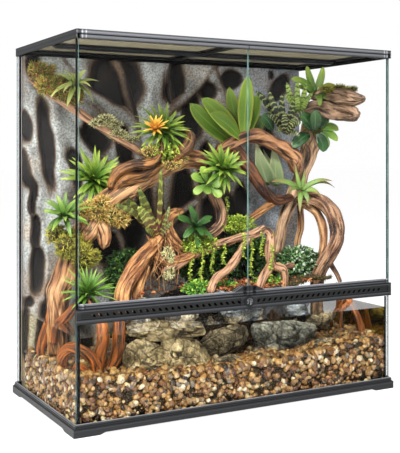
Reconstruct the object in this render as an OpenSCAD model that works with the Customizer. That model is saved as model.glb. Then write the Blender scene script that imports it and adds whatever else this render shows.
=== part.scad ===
// Front-opening glass terrarium with a water part, two hinged doors and a furnished interior.
// Frame: +X to the right, the doors face -Y, +Z up, origin at the centre of the footprint.

/* [Tank] */
// Width over the two side panes
tank_w = 900; // [896:1:904]
// Height from the floor to the top of the lid frame
total_h = 915; // [912:1:930]
// Thickness of the fixed panes
glass_t = 5; // [4:0.5:5]

/* [Base] */
// Width of the moulded base
base_w = 919; // [919:1:930]
// Depth of the moulded base
base_d = 461; // [461:1:470]
// Height of the corner feet
foot_h = 5; // [3:0.5:6]
// Length of each corner foot before it curves up
foot_len = 60; // [50:1:80]

/* [Vent strip] */
// Height of the strip's lower edge
strip_z = 251.5; // [251.5:0.5:252]
// Slots in each half of the strip
slot_count = 24; // [12:1:24]
// Distance between neighbouring slots
slot_pitch = 16.6; // [14:0.1:16.6]

/* [Doors] */
// Thickness of the door panes
door_t = 4; // [3:0.5:4]
// Radius of the hinge pins
pin_r = 2; // [1.5:0.1:2.2]
// Gap between the two doors
door_gap = 2; // [1:0.5:3]

/* [Screens] */
// Openings of one screen along the width
mesh_nx = 15; // [8:1:15]
// Openings of one screen along the depth
mesh_ny = 10; // [6:1:10]
// Width of a wire of the screen
wire_w = 2; // [1:0.5:3]

/* [Furnishing] */
// Level of the gravel in the middle of the front pane
gravel_z = 108; // [104:1:112]
// Depth of relief of the moulded background
relief = 24; // [10:1:24]

/* [Hidden] */
$fn = 48;
plastic = "#3d4043";
glass_tint = [0.75, 0.88, 0.86, 0.35];

half_w = tank_w / 2;
// Front face of the fixed lower pane and outer face of the back pane
pane_y = -219;
back_y = 222;
inner_front_y = pane_y + glass_t;
inner_back_y = back_y - glass_t;
inner_x = half_w - glass_t;
// Heights of the base's parts
skirt_top = 18;
lip_top = 28;
ledge_z = 10;
floor_top = ledge_z + 6;
// The strip, the doors' rails and the lid frame share one front plane
face_y = -227;
strip_h = 34;
strip_top = strip_z + strip_h;
strip_back_y = -206;
slot_first = 28.5;
lock_z = strip_z + 18.5;
rail_h = 10;
rail_depth = 12;
rail_gap = 0.6;
door_bottom = strip_top + rail_gap;
lid_web = 10.5;
lid_side_h = 21;
lid_z = total_h - lid_side_h;
web_z = total_h - lid_web;
door_top = web_z - rail_gap;
glass_top = web_z - 0.2;
hinge_x = half_w - 10;
hinge_y = face_y + rail_depth / 2;
knuckle_r = rail_depth / 2;
pin_len = 9;
pin_clear = 0.05;
// The lid frame's windows for the two screens
lid_half_w = half_w + 2;
lid_front_y = face_y;
lid_back_y = back_y + 2;
window_x0 = 10;
window_x1 = half_w - 18;
window_y0 = -208;
window_y1 = 180;
ledge_w = 6;
ledge_top = total_h - 8;
screen_gap = 0.5;
screen_border = 14;
screen_top = total_h - 3;
brace_h = 12;
clip_travel = 8;
clip_w = 24;
clip_len = 13;
slider_len = 38;
slider_travel = 34;
slider_x = 215;
// Half height and rise of the finger handle
handle_w = 45;
handle_flat = 18;
handle_top = 309 - 286.1;

// ---------- helpers ----------
function pick(v, i) = v[max(0, min(len(v) - 1, i))];
function spline(a, b, c, d, t) =
    0.5 * (2 * b + (c - a) * t + (2 * a - 5 * b + 4 * c - d) * t * t + (3 * b - a - 3 * c + d) * t * t * t);
function along(v, u) = let (i = floor(min(u, len(v) - 1.0001)))
    spline(pick(v, i - 1), pick(v, i), pick(v, i + 1), pick(v, i + 2), u - i);
function unit(v) = v / norm(v);
function flatten(l) = [for (a = l) for (b = a) b];
// Triangles of a tube whose rings have s points each, closed by a first and a last point
function tube_faces(rings, s) = let (e = rings * s + 1) concat(
    [for (j = [0:s - 1]) [0, 1 + j, 1 + (j + 1) % s]],
    [for (i = [0:rings - 2], j = [0:s - 1]) [1 + i * s + j, 1 + (i + 1) * s + j, 1 + (i + 1) * s + (j + 1) % s]],
    [for (i = [0:rings - 2], j = [0:s - 1]) [1 + i * s + j, 1 + (i + 1) * s + (j + 1) % s, 1 + i * s + (j + 1) % s]],
    [for (j = [0:s - 1]) [e, e - s + (j + 1) % s, e - s + j]]);

// Fuses the shapes given to it into one closed skin
module fused() { resize([0, 0, 0]) union() children(); }

// Box from one corner to the other
module block(low, high) { translate(low) cube(high - low); }

// Rounded plate centred on the origin of X and Y
module plate(w, d, z0, z1, r = 4) {
    translate([0, 0, z0]) linear_extrude(z1 - z0) offset(r) square([w - 2 * r, d - 2 * r], center = true);
}

// A gnarled limb of wood swept along hand-placed points
module limb(path, radii, sides = 7, step = 0.5, knot = 0.14, flat = 1, ref = [0, 1, 0]) {
    last = len(path) - 1;
    count = round(last / step) + 1;
    rings = [for (k = [0:count - 1]) let (
        u = k * step,
        t = unit(along(path, min(last, u + 0.05)) - along(path, max(0, u - 0.05))),
        n1 = unit(cross(t, ref)), n2 = cross(t, n1), c = along(path, u), r = along(radii, u))
        [for (j = [0:sides - 1]) let (a = 360 * j / sides, rr = r * (1 + knot * sin(3 * a + 97 * u)))
            c + rr * (n1 * cos(a) + n2 * sin(a) * flat)]];
    first_tip = path[0] - unit(along(path, 0.1) - path[0]) * radii[0] * 0.4;
    last_tip = path[last] + unit(path[last] - along(path, last - 0.1)) * radii[last] * 0.4;
    polyhedron(points = concat([first_tip], flatten(rings), [last_tip]), faces = tube_faces(count, sides));
}

// A boulder, a bank or a cushion of moss: a rough rounded block
module stone(at, size, power = 2.6, rough = 0.08, seed = 1, rings = 7, sides = 11, turn = 0) {
    pts = [for (i = [1:rings], j = [0:sides - 1]) let (
        lat = -90 + 180 * i / (rings + 1), lon = 360 * j / sides,
        d = [cos(lat) * cos(lon), cos(lat) * sin(lon), sin(lat)],
        f = pow(pow(abs(d[0]), power) + pow(abs(d[1]), power) + pow(abs(d[2]), power), -1 / power),
        k = f * (1 + rough * sin(i * 73 + seed * 137) * cos(j * 113 + seed * 71 + i * 29)))
        [d[0] * size[0] / 2 * k, d[1] * size[1] / 2 * k, d[2] * size[2] / 2 * k]];
    translate(at) rotate([0, turn, 0])
        polyhedron(points = concat([[0, 0, -size[2] / 2]], pts, [[0, 0, size[2] / 2]]),
            faces = tube_faces(rings, sides));
}

// Place along a leaf that leaves its root at the angle rise and bends down by bend degrees
function leaf_x(len, rise, bend, s) = len * 57.2958 / bend * (sin(rise) - sin(rise - bend * s));
function leaf_z(len, rise, bend, s) = len * 57.2958 / bend * (cos(rise - bend * s) - cos(rise));

// One leaf along +X: blade half widths come from the profile at equal steps
module leaf(len, width, rise = 50, bend = 60, profile = [0.35, 0.9, 1, 0.6], fold = 0.25, thick = 1.6) {
    n = len(profile);
    rings = [for (k = [0:n - 1]) let (s = k / n, x = leaf_x(len, rise, bend, s), z = leaf_z(len, rise, bend, s),
        w = width / 2 * profile[k], a = rise - bend * s, up = [-sin(a), 0, cos(a)])
        [[x, w, z] + up * fold * w, [x, 0, z] + up * thick, [x, -w, z] + up * fold * w, [x, 0, z] - up * thick]];
    polyhedron(points = concat([[-thick, 0, 0]], flatten(rings),
        [[leaf_x(len, rise, bend, 1), 0, leaf_z(len, rise, bend, 1)]]), faces = tube_faces(n, 4));
}

// A plant's stem, from its heart into whatever it grows on
module stem(from, to, r = 5) { limb([from, (from + to) / 2 - [0, 0, r], to], [r, r, r], sides = 5, step = 1, knot = 0); }

// A rosette: the first leaves stand, the last ones lie out
module rosette(at, turn, count, len, width, inner = 80, outer = 15, bend = 50, thick = 1.6,
        profile = [0.35, 0.9, 1, 0.6], seed = 0, core = 0.1) {
    translate(at) rotate(turn) {
        stone([0, 0, 0], [2 * core * len, 2 * core * len, 2 * core * len], power = 2, rough = 0, rings = 3, sides = 6);
        for (i = [0:count - 1]) let (s = i / max(1, count - 1))
            rotate([0, 0, i * 137.5 + seed * 40]) translate([core * len / 2, 0, 0])
                leaf(len * (0.7 + 0.3 * sin(150 * s + 20)), width, inner + (outer - inner) * s, bend, profile,
                    0.25, thick);
    }
}

// A group of leaves, each [azimuth, length, width, rise, bend]
module leaves(at, turn, list, profile = [0.35, 0.9, 1, 0.6], thick = 1.8, core = 8) {
    translate(at) rotate(turn) {
        stone([0, 0, 0], [2 * core, 2 * core, 2 * core], power = 2, rough = 0, rings = 3, sides = 6);
        for (l = list) rotate([0, 0, l[0]]) translate([core / 2, 0, 0])
            leaf(l[1], l[2], l[3], l[4], profile, 0.25, thick);
    }
}

// ---------- the tank ----------
// Outline of one side of the skirt: flat feet at both ends, an S-curve up to the middle
function skirt_side(half, rise_len = 18) = concat(
    [[-half, 0]], [for (k = [0:8]) [-half + foot_len + rise_len * k / 8, foot_h * (1 - cos(180 * k / 8)) / 2]],
    [for (k = [8:-1:0]) [half - foot_len - rise_len * k / 8, foot_h * (1 - cos(180 * k / 8)) / 2]],
    [[half, 0], [half, skirt_top / 2], [-half, skirt_top / 2]]);

module base_frame() {
    opening_w = tank_w - 40;
    opening_d = base_d - 61;
    color(plastic) difference() {
        union() {
            intersection() {
                plate(base_w, base_d, 0, skirt_top);
                union() {
                    block([-base_w / 2, -base_d / 2, foot_h], [base_w / 2, base_d / 2, skirt_top]);
                    for (s = [-1, 1]) {
                        translate([0, s * (base_d / 2 - 10) + 10, 0]) rotate([90, 0, 0])
                            linear_extrude(20) polygon(skirt_side(base_w / 2));
                        translate([s * (base_w / 2 - 10) - 10, 0, 0]) rotate([90, 0, 90])
                            linear_extrude(20) polygon(skirt_side(base_d / 2));
                    }
                }
            }
            plate(base_w - 6, base_d - 6, skirt_top, skirt_top + 3);
            plate(base_w - 10, base_d - 8, skirt_top + 3, skirt_top + 6);
            plate(base_w - 7, base_d - 7, skirt_top + 6, skirt_top + 7);
            plate(base_w - 10, base_d - 9, skirt_top + 7, lip_top);
        }
        block([-opening_w / 2, -opening_d / 2, -1], [opening_w / 2, opening_d / 2, lip_top]);
        block([-half_w - 0.2, pane_y - 0.2, ledge_z], [half_w + 0.2, back_y + 0.2, lip_top + 1]);
    }
}

module pane(low, high) { color(glass_tint) block(low, high); }
module floor_glass() {
    pane([-inner_x + 0.5, inner_front_y + 0.5, ledge_z], [inner_x - 0.5, inner_back_y - 0.5, floor_top]);
}
module back_glass() { pane([-half_w, inner_back_y, ledge_z], [half_w, back_y, glass_top]); }
module left_glass() { pane([-half_w, inner_front_y, ledge_z], [-inner_x, inner_back_y, glass_top]); }
module right_glass() { pane([inner_x, inner_front_y, ledge_z], [half_w, inner_back_y, glass_top]); }
module front_glass() { pane([-half_w, pane_y, ledge_z], [half_w, inner_front_y, strip_z + 6]); }

// Fillets of silicone in the corners, and the black seals beside the doors
module silicone_seams() {
    leg = 6;
    color("#17191b") {
        for (s = [-1, 1]) {
            translate([s * inner_x, inner_back_y, floor_top]) linear_extrude(lid_z + 3.8 - floor_top)
                polygon([[0, 0], [-s * leg, 0], [0, -leg]]);
            translate([s * inner_x, inner_front_y, floor_top]) linear_extrude(strip_z - floor_top - 4)
                polygon([[0, 0], [-s * leg, 0], [0, leg]]);
            block([s > 0 ? half_w - 3.2 : -half_w, pane_y - 0.5, strip_top + 0.5],
                [s > 0 ? half_w : -half_w + 3.2, inner_front_y, lid_z - 0.2]);
        }
        for (s = [-1, 1])
            translate([s * inner_x, 0, floor_top]) rotate([90, 0, 0])
                translate([0, 0, -inner_back_y + leg]) linear_extrude(inner_back_y - inner_front_y - 2 * leg)
                    polygon([[0, 0], [-s * leg, 0], [0, leg]]);
    }
}

// One slot leans with its half of the strip
module slot(x, lean) {
    w = 7;
    h = 7.6;
    tip = 2.6 * lean;
    translate([x, strip_back_y + 1, lock_z]) rotate([90, 0, 0]) linear_extrude(strip_back_y - face_y + 2)
        polygon([[-w / 2 - tip, -h / 2], [w / 2 - tip, -h / 2], [w / 2 + tip, h / 2], [-w / 2 + tip, h / 2]]);
}

module vent_strip() {
    end_x = half_w + 2;
    color(plastic) difference() {
        union() {
            block([-end_x, face_y, strip_z], [end_x, inner_front_y - 0.2, strip_top]);
            block([-inner_x + 0.3, inner_front_y - 0.2, strip_z], [inner_x - 0.3, strip_back_y, strip_top]);
        }
        // groove over the lower pane's edge
        block([-half_w - 0.1, pane_y - 0.1, strip_z - 1], [half_w + 0.1, inner_front_y + 0.1, strip_z + 6.1]);
        // recessed band that holds the slots, on each side of the lock
        for (s = [-1, 1])
            block([s > 0 ? 24 : -half_w + 8, face_y - 1, strip_z + 9.5],
                [s > 0 ? half_w - 8 : -24, face_y + 1.4, strip_z + 28]);
        for (s = [-1, 1], i = [0:slot_count - 1]) slot(s * (slot_first + slot_pitch * i), s);
        // lock barrel bore, the cam's chamber behind it, and the lower hinge sockets
        translate([0, face_y - 1, lock_z]) rotate([-90, 0, 0]) cylinder(h = 12, r = 10);
        block([-22, face_y + 8, strip_z + 7.5], [22, strip_back_y + 1, strip_z + 30.5]);
        for (s = [-1, 1]) translate([s * hinge_x, hinge_y, strip_top - pin_len])
            cylinder(h = pin_len + 1, r = pin_r + pin_clear);
    }
}

module lock_housing() {
    color("#1c1d1f") difference() {
        union() {
            translate([0, face_y - 3, lock_z]) rotate([-90, 0, 0]) cylinder(h = 3, r = 13);
            translate([0, face_y, lock_z]) rotate([-90, 0, 0]) cylinder(h = 8, r = 10);
        }
        translate([0, face_y - 4, lock_z]) rotate([-90, 0, 0]) cylinder(h = 20, r = 8.5 + pin_clear);
    }
}

// The barrel turns in the housing; its keyway is a slot across the face
module lock_cylinder() {
    color("#c9ccd0") difference() {
        translate([0, face_y - 3.4, lock_z]) rotate([-90, 0, 0]) {
            cylinder(h = 11.2, r = 8.5);
            cylinder(h = 16, r = 3);
        }
        block([-1, face_y - 4, lock_z - 5], [1, face_y - 0.4, lock_z + 5]);
    }
}

module lock_cam() {
    color("#b9bcbf") translate([0, face_y + 10.4, lock_z]) rotate([-90, 0, 0]) linear_extrude(2) difference() {
        hull() {
            circle(r = 5.5);
            translate([7, 0]) circle(r = 3.5);
        }
        circle(r = 3);
    }
}

// ---------- the lid ----------
module slider_track(x) {
    y0 = 198.5;
    block([x - 19.3, y0, total_h - 2.8], [x + 19.3 + slider_travel, y0 + 19, total_h - 0.9]);
    block([x - 19.3, y0 + 2, total_h - 1.5], [x + 19.3 + slider_travel, y0 + 17, total_h + 1]);
    block([x - 15, y0 + 3.5, web_z - 1], [x + 15, y0 + 15.5, total_h]);
}

module top_frame() {
    // the corner block's inner edge is cut off where the opened door's rail swings past it
    corner_in = half_w - 2.8;
    corner_block = [[corner_in, inner_front_y], [corner_in, hinge_y + 1], [half_w + 0.4, lid_front_y],
        [lid_half_w, lid_front_y], [lid_half_w, inner_front_y]];
    color(plastic) difference() {
        union() {
            // flat web all round, lips over the glass, and the front corner blocks
            block([-lid_half_w, lid_front_y, web_z], [lid_half_w, lid_back_y, total_h]);
            for (s = [-1, 1]) {
                block([s > 0 ? half_w + 0.2 : -lid_half_w, inner_front_y, lid_z],
                    [s > 0 ? lid_half_w : -half_w - 0.2, lid_back_y, web_z]);
                block([s > 0 ? inner_x - 2.2 : -inner_x - 0.0, inner_front_y, lid_z + 4],
                    [s > 0 ? inner_x : -inner_x + 2.2, inner_back_y, web_z]);
                translate([0, 0, lid_z]) linear_extrude(web_z - lid_z) polygon([for (c = corner_block) [s * c[0], c[1]]]);
            }
            block([-lid_half_w, back_y + 0.2, lid_z], [lid_half_w, lid_back_y, web_z]);
            block([-inner_x, inner_back_y - 2.2, lid_z + 4], [inner_x, inner_back_y, web_z]);
            // long brace under the screens, chamfered into the side rails
            translate([0, 8, 0]) rotate([90, 0, 0]) linear_extrude(16)
                polygon([[-window_x1, ledge_top], [-window_x1, ledge_top - 3],
                    [-window_x1 + 14, ledge_top - brace_h], [window_x1 - 14, ledge_top - brace_h],
                    [window_x1, ledge_top - 3], [window_x1, ledge_top]]);
        }
        for (s = [-1, 1]) {
            // window, and the rebate that the screen drops into
            block([s > 0 ? window_x0 + ledge_w : -window_x1 + ledge_w, window_y0 + ledge_w, web_z - 1],
                [s > 0 ? window_x1 - ledge_w : -window_x0 - ledge_w, -8, ledge_top + 1]);
            block([s > 0 ? window_x0 + ledge_w : -window_x1 + ledge_w, 8, web_z - 1],
                [s > 0 ? window_x1 - ledge_w : -window_x0 - ledge_w, window_y1 - ledge_w, ledge_top + 1]);
            block([s > 0 ? window_x0 : -window_x1, window_y0, ledge_top],
                [s > 0 ? window_x1 : -window_x0, window_y1, total_h + 1]);
            for (e = [[window_y0 - 14.3, window_y0 + 0.1], [window_y1 - 0.1, window_y1 + 14.3]])
                block([s * 221 - clip_w / 2 - 0.2, e[0], screen_top + 0.1],
                    [s * 221 + clip_w / 2 + 0.2, e[1], total_h + 1]);
            slider_track(s * slider_x - slider_travel / 2);
            translate([s * hinge_x, hinge_y, web_z - 1]) cylinder(h = pin_len - 0.5, r = pin_r + pin_clear);
        }
    }
}

module screen_frame(s) {
    x0 = s > 0 ? window_x0 + screen_gap : -window_x1 + screen_gap;
    x1 = s > 0 ? window_x1 - screen_gap : -window_x0 - screen_gap;
    y0 = window_y0 + screen_gap;
    y1 = window_y1 - screen_gap;
    color(plastic) difference() {
        block([x0, y0, ledge_top], [x1, y1, screen_top]);
        block([x0 + screen_border, y0 + screen_border, ledge_top - 1],
            [x1 - screen_border, y1 - screen_border, screen_top + 1]);
    }
}

// Wire cloth held inside its frame, drawn with a wide pitch
module screen_mesh(s) {
    x0 = (s > 0 ? window_x0 : -window_x1) + screen_gap + screen_border;
    y0 = window_y0 + screen_gap + screen_border;
    w = window_x1 - window_x0 - 2 * screen_gap - 2 * screen_border;
    d = window_y1 - window_y0 - 2 * screen_gap - 2 * screen_border;
    px = (w - wire_w) / mesh_nx;
    py = (d - wire_w) / mesh_ny;
    color("#6f6f64") translate([x0, y0, ledge_top + 1.5]) linear_extrude(1.2) difference() {
        square([w, d]);
        for (i = [0:mesh_nx - 1], j = [0:mesh_ny - 1])
            translate([wire_w + i * px, wire_w + j * py]) square([px - wire_w, py - wire_w]);
    }
}

// A clip slides over the screen's edge; a rib on it takes the fingertip
module clip(x, y, side) {
    color("#2b2d2f") translate([x, y, 0]) {
        block([-clip_w / 2, 0, screen_top + 0.3], [clip_w / 2, clip_len, screen_top + 1.7]);
        block([-clip_w / 2 + 3, side > 0 ? 2 : clip_len - 5, screen_top + 1.7],
            [clip_w / 2 - 3, side > 0 ? 5 : clip_len - 2, total_h - 0.2]);
    }
}

module inlet_slider(x) {
    y0 = 199;
    color("#2b2d2f") {
        block([x - 19, y0, total_h - 2.6], [x + 19, y0 + 18, total_h - 1.1]);
        block([x - 2, y0 + 2.5, total_h - 1.1], [x + 2, y0 + 15.5, total_h - 0.2]);
    }
}

// ---------- the doors ----------
// s is -1 for the left door and 1 for the right one
module door_glass(s) {
    color(glass_tint) block([s > 0 ? door_gap / 2 : -half_w + 4.5, hinge_y - door_t / 2, door_bottom + 2],
        [s > 0 ? half_w - 4.5 : -door_gap / 2, hinge_y + door_t / 2, door_top - 2]);
}

module rail_bar(s, z0, z1) {
    block([s > 0 ? door_gap / 2 : -hinge_x, face_y, z0], [s > 0 ? hinge_x : -door_gap / 2, face_y + rail_depth, z1]);
    translate([s * hinge_x, hinge_y, z0]) cylinder(h = z1 - z0, r = knuckle_r);
}

module door_top_rail(s) {
    color(plastic) difference() {
        rail_bar(s, door_top - rail_h, door_top);
        door_glass(s);
        block([-half_w, face_y - 1, door_top - 1.4], [half_w, face_y + 1, door_top + 1]);
        translate([s * hinge_x, hinge_y, door_top - 2]) cylinder(h = 3, r = pin_r);
    }
}

module door_bottom_rail(s) {
    grip0 = 8;
    grip1 = 19;
    color(plastic) difference() {
        union() {
            rail_bar(s, door_bottom, door_bottom + rail_h);
            // one half of the finger handle
            translate([0, face_y + rail_depth, door_bottom]) rotate([90, 0, 0]) linear_extrude(rail_depth + 3)
                polygon([[s * door_gap / 2, 0], [s * handle_w, 0], [s * handle_w, rail_h],
                    [s * handle_flat, handle_top], [s * door_gap / 2, handle_top]]);
        }
        door_glass(s);
        block([s > 0 ? grip0 : -grip1, face_y - 4, door_bottom + 3],
            [s > 0 ? grip1 : -grip0, face_y + 2.5, door_bottom + handle_top - 3]);
        // shallow groove along the front of the rail
        block([s > 0 ? handle_w : -hinge_x + 8, face_y - 1, door_bottom + 3],
            [s > 0 ? hinge_x - 8 : -handle_w, face_y + 0.8, door_bottom + 5]);
        translate([s * hinge_x, hinge_y, door_bottom - 1]) cylinder(h = 3, r = pin_r);
    }
}

// Steel pins: the lower one stands in the strip, the upper one in the lid frame
module hinge_pins(s) {
    color("#a9adb1") {
        translate([s * hinge_x, hinge_y, strip_top - pin_len + 1]) cylinder(h = pin_len + rail_gap + 1, r = pin_r);
        translate([s * hinge_x, hinge_y, door_top - 2]) cylinder(h = pin_len - 0.5, r = pin_r);
    }
}

// ---------- the furnishing ----------
// Hollows of the background: [x, z, half width, half height, lean]
hollows = [[-415, 875, 12, 14, 0], [-355, 868, 30, 22, 0], [-380, 665, 24, 150, -6], [-432, 720, 14, 50, -12],
    [-430, 605, 14, 58, -14], [-405, 450, 14, 52, 0], [-400, 330, 17, 62, 0], [-200, 835, 42, 56, 8],
    [-220, 742, 48, 22, 20], [-230, 668, 42, 36, 15], [-150, 700, 16, 24, 0], [-100, 840, 15, 56, -6],
    [10, 840, 26, 52, 0], [118, 828, 32, 28, 30], [150, 785, 30, 26, 30], [200, 835, 26, 42, -20],
    [80, 765, 30, 34, 20], [345, 872, 10, 14, 0], [375, 848, 16, 56, -40], [10, 700, 46, 60, 0],
    [-235, 440, 22, 28, 20], [-200, 380, 38, 46, 15], [-135, 412, 27, 46, -10], [-100, 620, 18, 40, 0],
    [60, 560, 40, 90, 10], [190, 420, 34, 80, 0], [320, 640, 26, 90, -8], [60, 350, 34, 50, 0]];
function hollow_at(h, x, z) = let (dx = (x - h[0]) * cos(h[4]) + (z - h[1]) * sin(h[4]),
    dz = (z - h[1]) * cos(h[4]) - (x - h[0]) * sin(h[4]))
    max(0, 1 - pow(pow(dx / (h[2] + 10), 2) + pow(dz / (h[3] + 12), 2), 1.5));
function relief_at(x, z) = 10 + relief * (1 - min(1, 1.3 * max([for (h = hollows) hollow_at(h, x, z)])))
    + 3 * sin(x * 2.1 + 40 * sin(z * 0.7));

module foam_background() {
    nx = 27;
    nz = 25;
    x0 = -inner_x + 6.5;
    z0 = floor_top + 0.5;
    dx = (2 * inner_x - 13) / nx;
    dz = (lid_z - z0) / nz;
    plane = inner_back_y - 0.3;
    front = [for (j = [0:nz], i = [0:nx]) let (x = x0 + i * dx, z = z0 + j * dz) [x, plane - relief_at(x, z), z]];
    rim = concat([for (i = [0:nx]) i], [for (j = [1:nz]) j * (nx + 1) + nx],
        [for (i = [nx - 1:-1:0]) nz * (nx + 1) + i], [for (j = [nz - 1:-1:1]) j * (nx + 1)]);
    m = len(front);
    r = len(rim);
    back = [for (k = rim) [front[k][0], plane, front[k][2]]];
    color("#8d8d86") polyhedron(
        points = concat(front, back, [[0, plane, total_h / 2]]),
        faces = concat(
            [for (j = [0:nz - 1], i = [0:nx - 1]) let (a = j * (nx + 1) + i) [a, a + nx + 2, a + 1]],
            [for (j = [0:nz - 1], i = [0:nx - 1]) let (a = j * (nx + 1) + i) [a, a + nx + 1, a + nx + 2]],
            [for (k = [0:r - 1]) [rim[k], rim[(k + 1) % r], m + k]],
            [for (k = [0:r - 1]) [rim[(k + 1) % r], m + (k + 1) % r, m + k]],
            [for (k = [0:r - 1]) [m + k, m + (k + 1) % r, m + r]]));
}

// Level of the gravel: it rises to both ends and falls a little towards the back left
function gravel_at(x, y) = gravel_z + 0.00013 * x * x + 0.012 * x + 3 * sin(x * 2.3) * cos(y * 1.9)
    - (x < 0 ? 0.00006 * -x * (y - pane_y) : 0);

module gravel_bed() {
    nx = 22;
    ny = 8;
    x0 = -inner_x + 0.2;
    y0 = inner_front_y + 0.2;
    dx = (2 * inner_x - 0.4) / nx;
    dy = (182 - y0) / ny;
    top = [for (j = [0:ny], i = [0:nx]) let (x = x0 + i * dx, y = y0 + j * dy) [x, y, gravel_at(x, y)]];
    rim = concat([for (i = [0:nx]) i], [for (j = [1:ny]) j * (nx + 1) + nx],
        [for (i = [nx - 1:-1:0]) ny * (nx + 1) + i], [for (j = [ny - 1:-1:1]) j * (nx + 1)]);
    m = len(top);
    r = len(rim);
    bottom = [for (k = rim) [top[k][0], top[k][1], floor_top]];
    color("#9c7443") polyhedron(
        points = concat(top, bottom, [[0, 0, floor_top]]),
        faces = concat(
            [for (j = [0:ny - 1], i = [0:nx - 1]) let (a = j * (nx + 1) + i) [a, a + nx + 2, a + 1]],
            [for (j = [0:ny - 1], i = [0:nx - 1]) let (a = j * (nx + 1) + i) [a, a + nx + 1, a + nx + 2]],
            [for (k = [0:r - 1]) [rim[k], rim[(k + 1) % r], m + k]],
            [for (k = [0:r - 1]) [rim[(k + 1) % r], m + (k + 1) % r, m + k]],
            [for (k = [0:r - 1]) [m + k, m + (k + 1) % r, m + r]]));
}

module land_bank() {
    color("#4a3a26") stone([45, 60, 185], [590, 250, 186], power = 5, rough = 0.05, seed = 3, rings = 9, sides = 20);
}
module grey_boulder() {
    color("#84878a") stone([195, -85, 128], [200, 120, 128], power = 2.8, rough = 0.12, seed = 2, turn = 8);
}
module middle_boulder() {
    color("#8f8d80") stone([10, -80, 150], [150, 90, 72], power = 2.6, rough = 0.12, seed = 5, turn = -12);
}
module left_boulder() {
    color("#a59c7e") stone([-125, -115, 118], [150, 90, 105], power = 2.6, rough = 0.14, seed = 7, turn = 20);
}
module flat_slab() {
    color("#a89f88") stone([-150, -85, 190], [230, 120, 52], power = 3.2, rough = 0.1, seed = 9, turn = 4);
}
module small_stones() {
    color("#8a8a86") {
        stone([312, -125, 112], [110, 60, 44], seed = 4, rings = 5, sides = 9);
        stone([-15, -148, 105], [84, 46, 40], seed = 6, rings = 5, sides = 9);
        stone([345, -30, 178], [110, 90, 60], seed = 8, rings = 5, sides = 9, turn = -14);
        stone([-290, -30, 130], [120, 90, 80], seed = 11, rings = 5, sides = 9);
    }
}

// Routes of the wood: points placed by hand, with a radius at each
left_trunk = [[-400, 60, 120], [-395, 55, 215], [-395, 50, 280], [-385, 40, 325], [-370, 40, 368], [-340, 40, 415],
    [-308, 40, 462], [-272, 40, 508], [-222, 45, 535], [-165, 55, 562], [-105, 65, 598], [-35, 70, 622], [40, 60, 612]];
left_trunk_r = [26, 28, 36, 32, 26, 28, 30, 28, 26, 26, 30, 30, 20];
cup = [[-262, 25, 560], [-212, 10, 596], [-160, 5, 604], [-124, 20, 640]];
left_fork = [[-300, 30, 470], [-285, 20, 430], [-290, 10, 395]];
arch_limb = [[-272, -60, 236], [-266, -58, 290], [-240, -50, 335], [-200, -36, 372], [-160, -15, 396], [-125, 5, 425]];
arch_inner = [[-225, -50, 255], [-215, -45, 305], [-185, -30, 350]];
hook_left = [[-45, 45, 482], [-85, 35, 470], [-106, 20, 440], [-98, 8, 408], [-70, 0, 385], [-35, -5, 372]];
hook_right = [[40, 60, 545], [56, 45, 512], [68, 30, 475], [58, 22, 440], [24, 20, 415], [-16, 26, 410], [-38, 40, 425]];
arch_foot = [[-160, -25, 372], [-120, -25, 356], [-70, -25, 362], [-30, -20, 374]];
tan_long = [[-140, -35, 330], [-82, -25, 350], [-10, -20, 380], [80, -20, 402], [135, -20, 412], [182, -20, 430]];
tan_drop = [[180, -20, 428], [192, -30, 405], [182, -40, 365], [190, -42, 330], [220, -50, 313], [222, -52, 262]];
tan_low = [[-38, -92, 275], [-10, -80, 310], [28, -68, 326], [65, -50, 350], [98, -32, 380], [128, -22, 402]];
tan_leg = [[188, -42, 332], [152, -60, 308], [118, -80, 268]];
tan_arm = [[212, -48, 314], [238, -44, 322], [264, -40, 324]];
pale_trunk = [[402, 62, 742], [402, 75, 690], [398, 80, 640], [374, 80, 575], [340, 78, 512], [312, 78, 455],
    [296, 84, 390], [282, 90, 300], [276, 92, 262]];
curved_arm = [[70, 60, 640], [140, 58, 675], [192, 50, 686], [236, 40, 668], [276, 30, 650], [308, 26, 622], [316, 30, 578]];
dark_plate = [[110, 60, 668], [150, 60, 628], [190, 52, 568], [222, 45, 528], [262, 48, 500], [330, 70, 508]];
orange_strut = [[262, 55, 500], [205, 50, 470], [130, 40, 430]];
top_upper = [[372, 25, 800], [396, -10, 806], [410, -60, 800], [414, -110, 790], [414, -158, 786]];
top_lower = [[330, 45, 735], [352, 30, 758], [382, 0, 764], [408, -50, 756], [412, -105, 748], [404, -140, 742]];
loop_outer = [[340, 62, 500], [366, 20, 508], [392, -20, 486], [404, -46, 440], [404, -50, 395], [388, -38, 350],
    [368, -20, 305], [364, -5, 262], [368, 0, 205], [366, 0, 130]];
loop_inner = [[350, 55, 494], [386, 28, 466], [396, 8, 420], [392, 0, 372], [380, 0, 330]];
loop_back = [[356, 66, 494], [368, 78, 420], [360, 86, 368], [356, 88, 262]];
loop_twig = [[396, -24, 335], [412, -14, 312], [424, -22, 288], [432, -30, 262]];
mossy_limb = [[-428, 182, 836], [-380, 140, 788], [-320, 122, 750], [-258, 108, 706], [-190, 92, 664], [-118, 70, 614]];
root_u1 = [[-352, -118, 105], [-356, -120, 145], [-340, -110, 185], [-340, -92, 240], [-355, -67, 284]];
root_u2 = [[-334, -112, 108], [-308, -110, 142], [-296, -100, 178], [-286, -84, 240], [-276, -62, 262]];
root_coil = [[-420, -60, 108], [-428, -72, 146], [-418, -88, 170], [-400, -110, 170], [-380, -128, 156],
    [-368, -138, 130], [-366, -138, 100]];
root_knot = [[-408, -112, 108], [-410, -126, 134], [-392, -136, 118], [-388, -140, 96]];
root_left = [[-398, 70, 260], [-402, 84, 210], [-416, 94, 172], [-424, 100, 136], [-420, 100, 98]];
root_spur = [[-376, -20, 262], [-392, -8, 234], [-408, 20, 208], [-412, 40, 160]];
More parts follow.
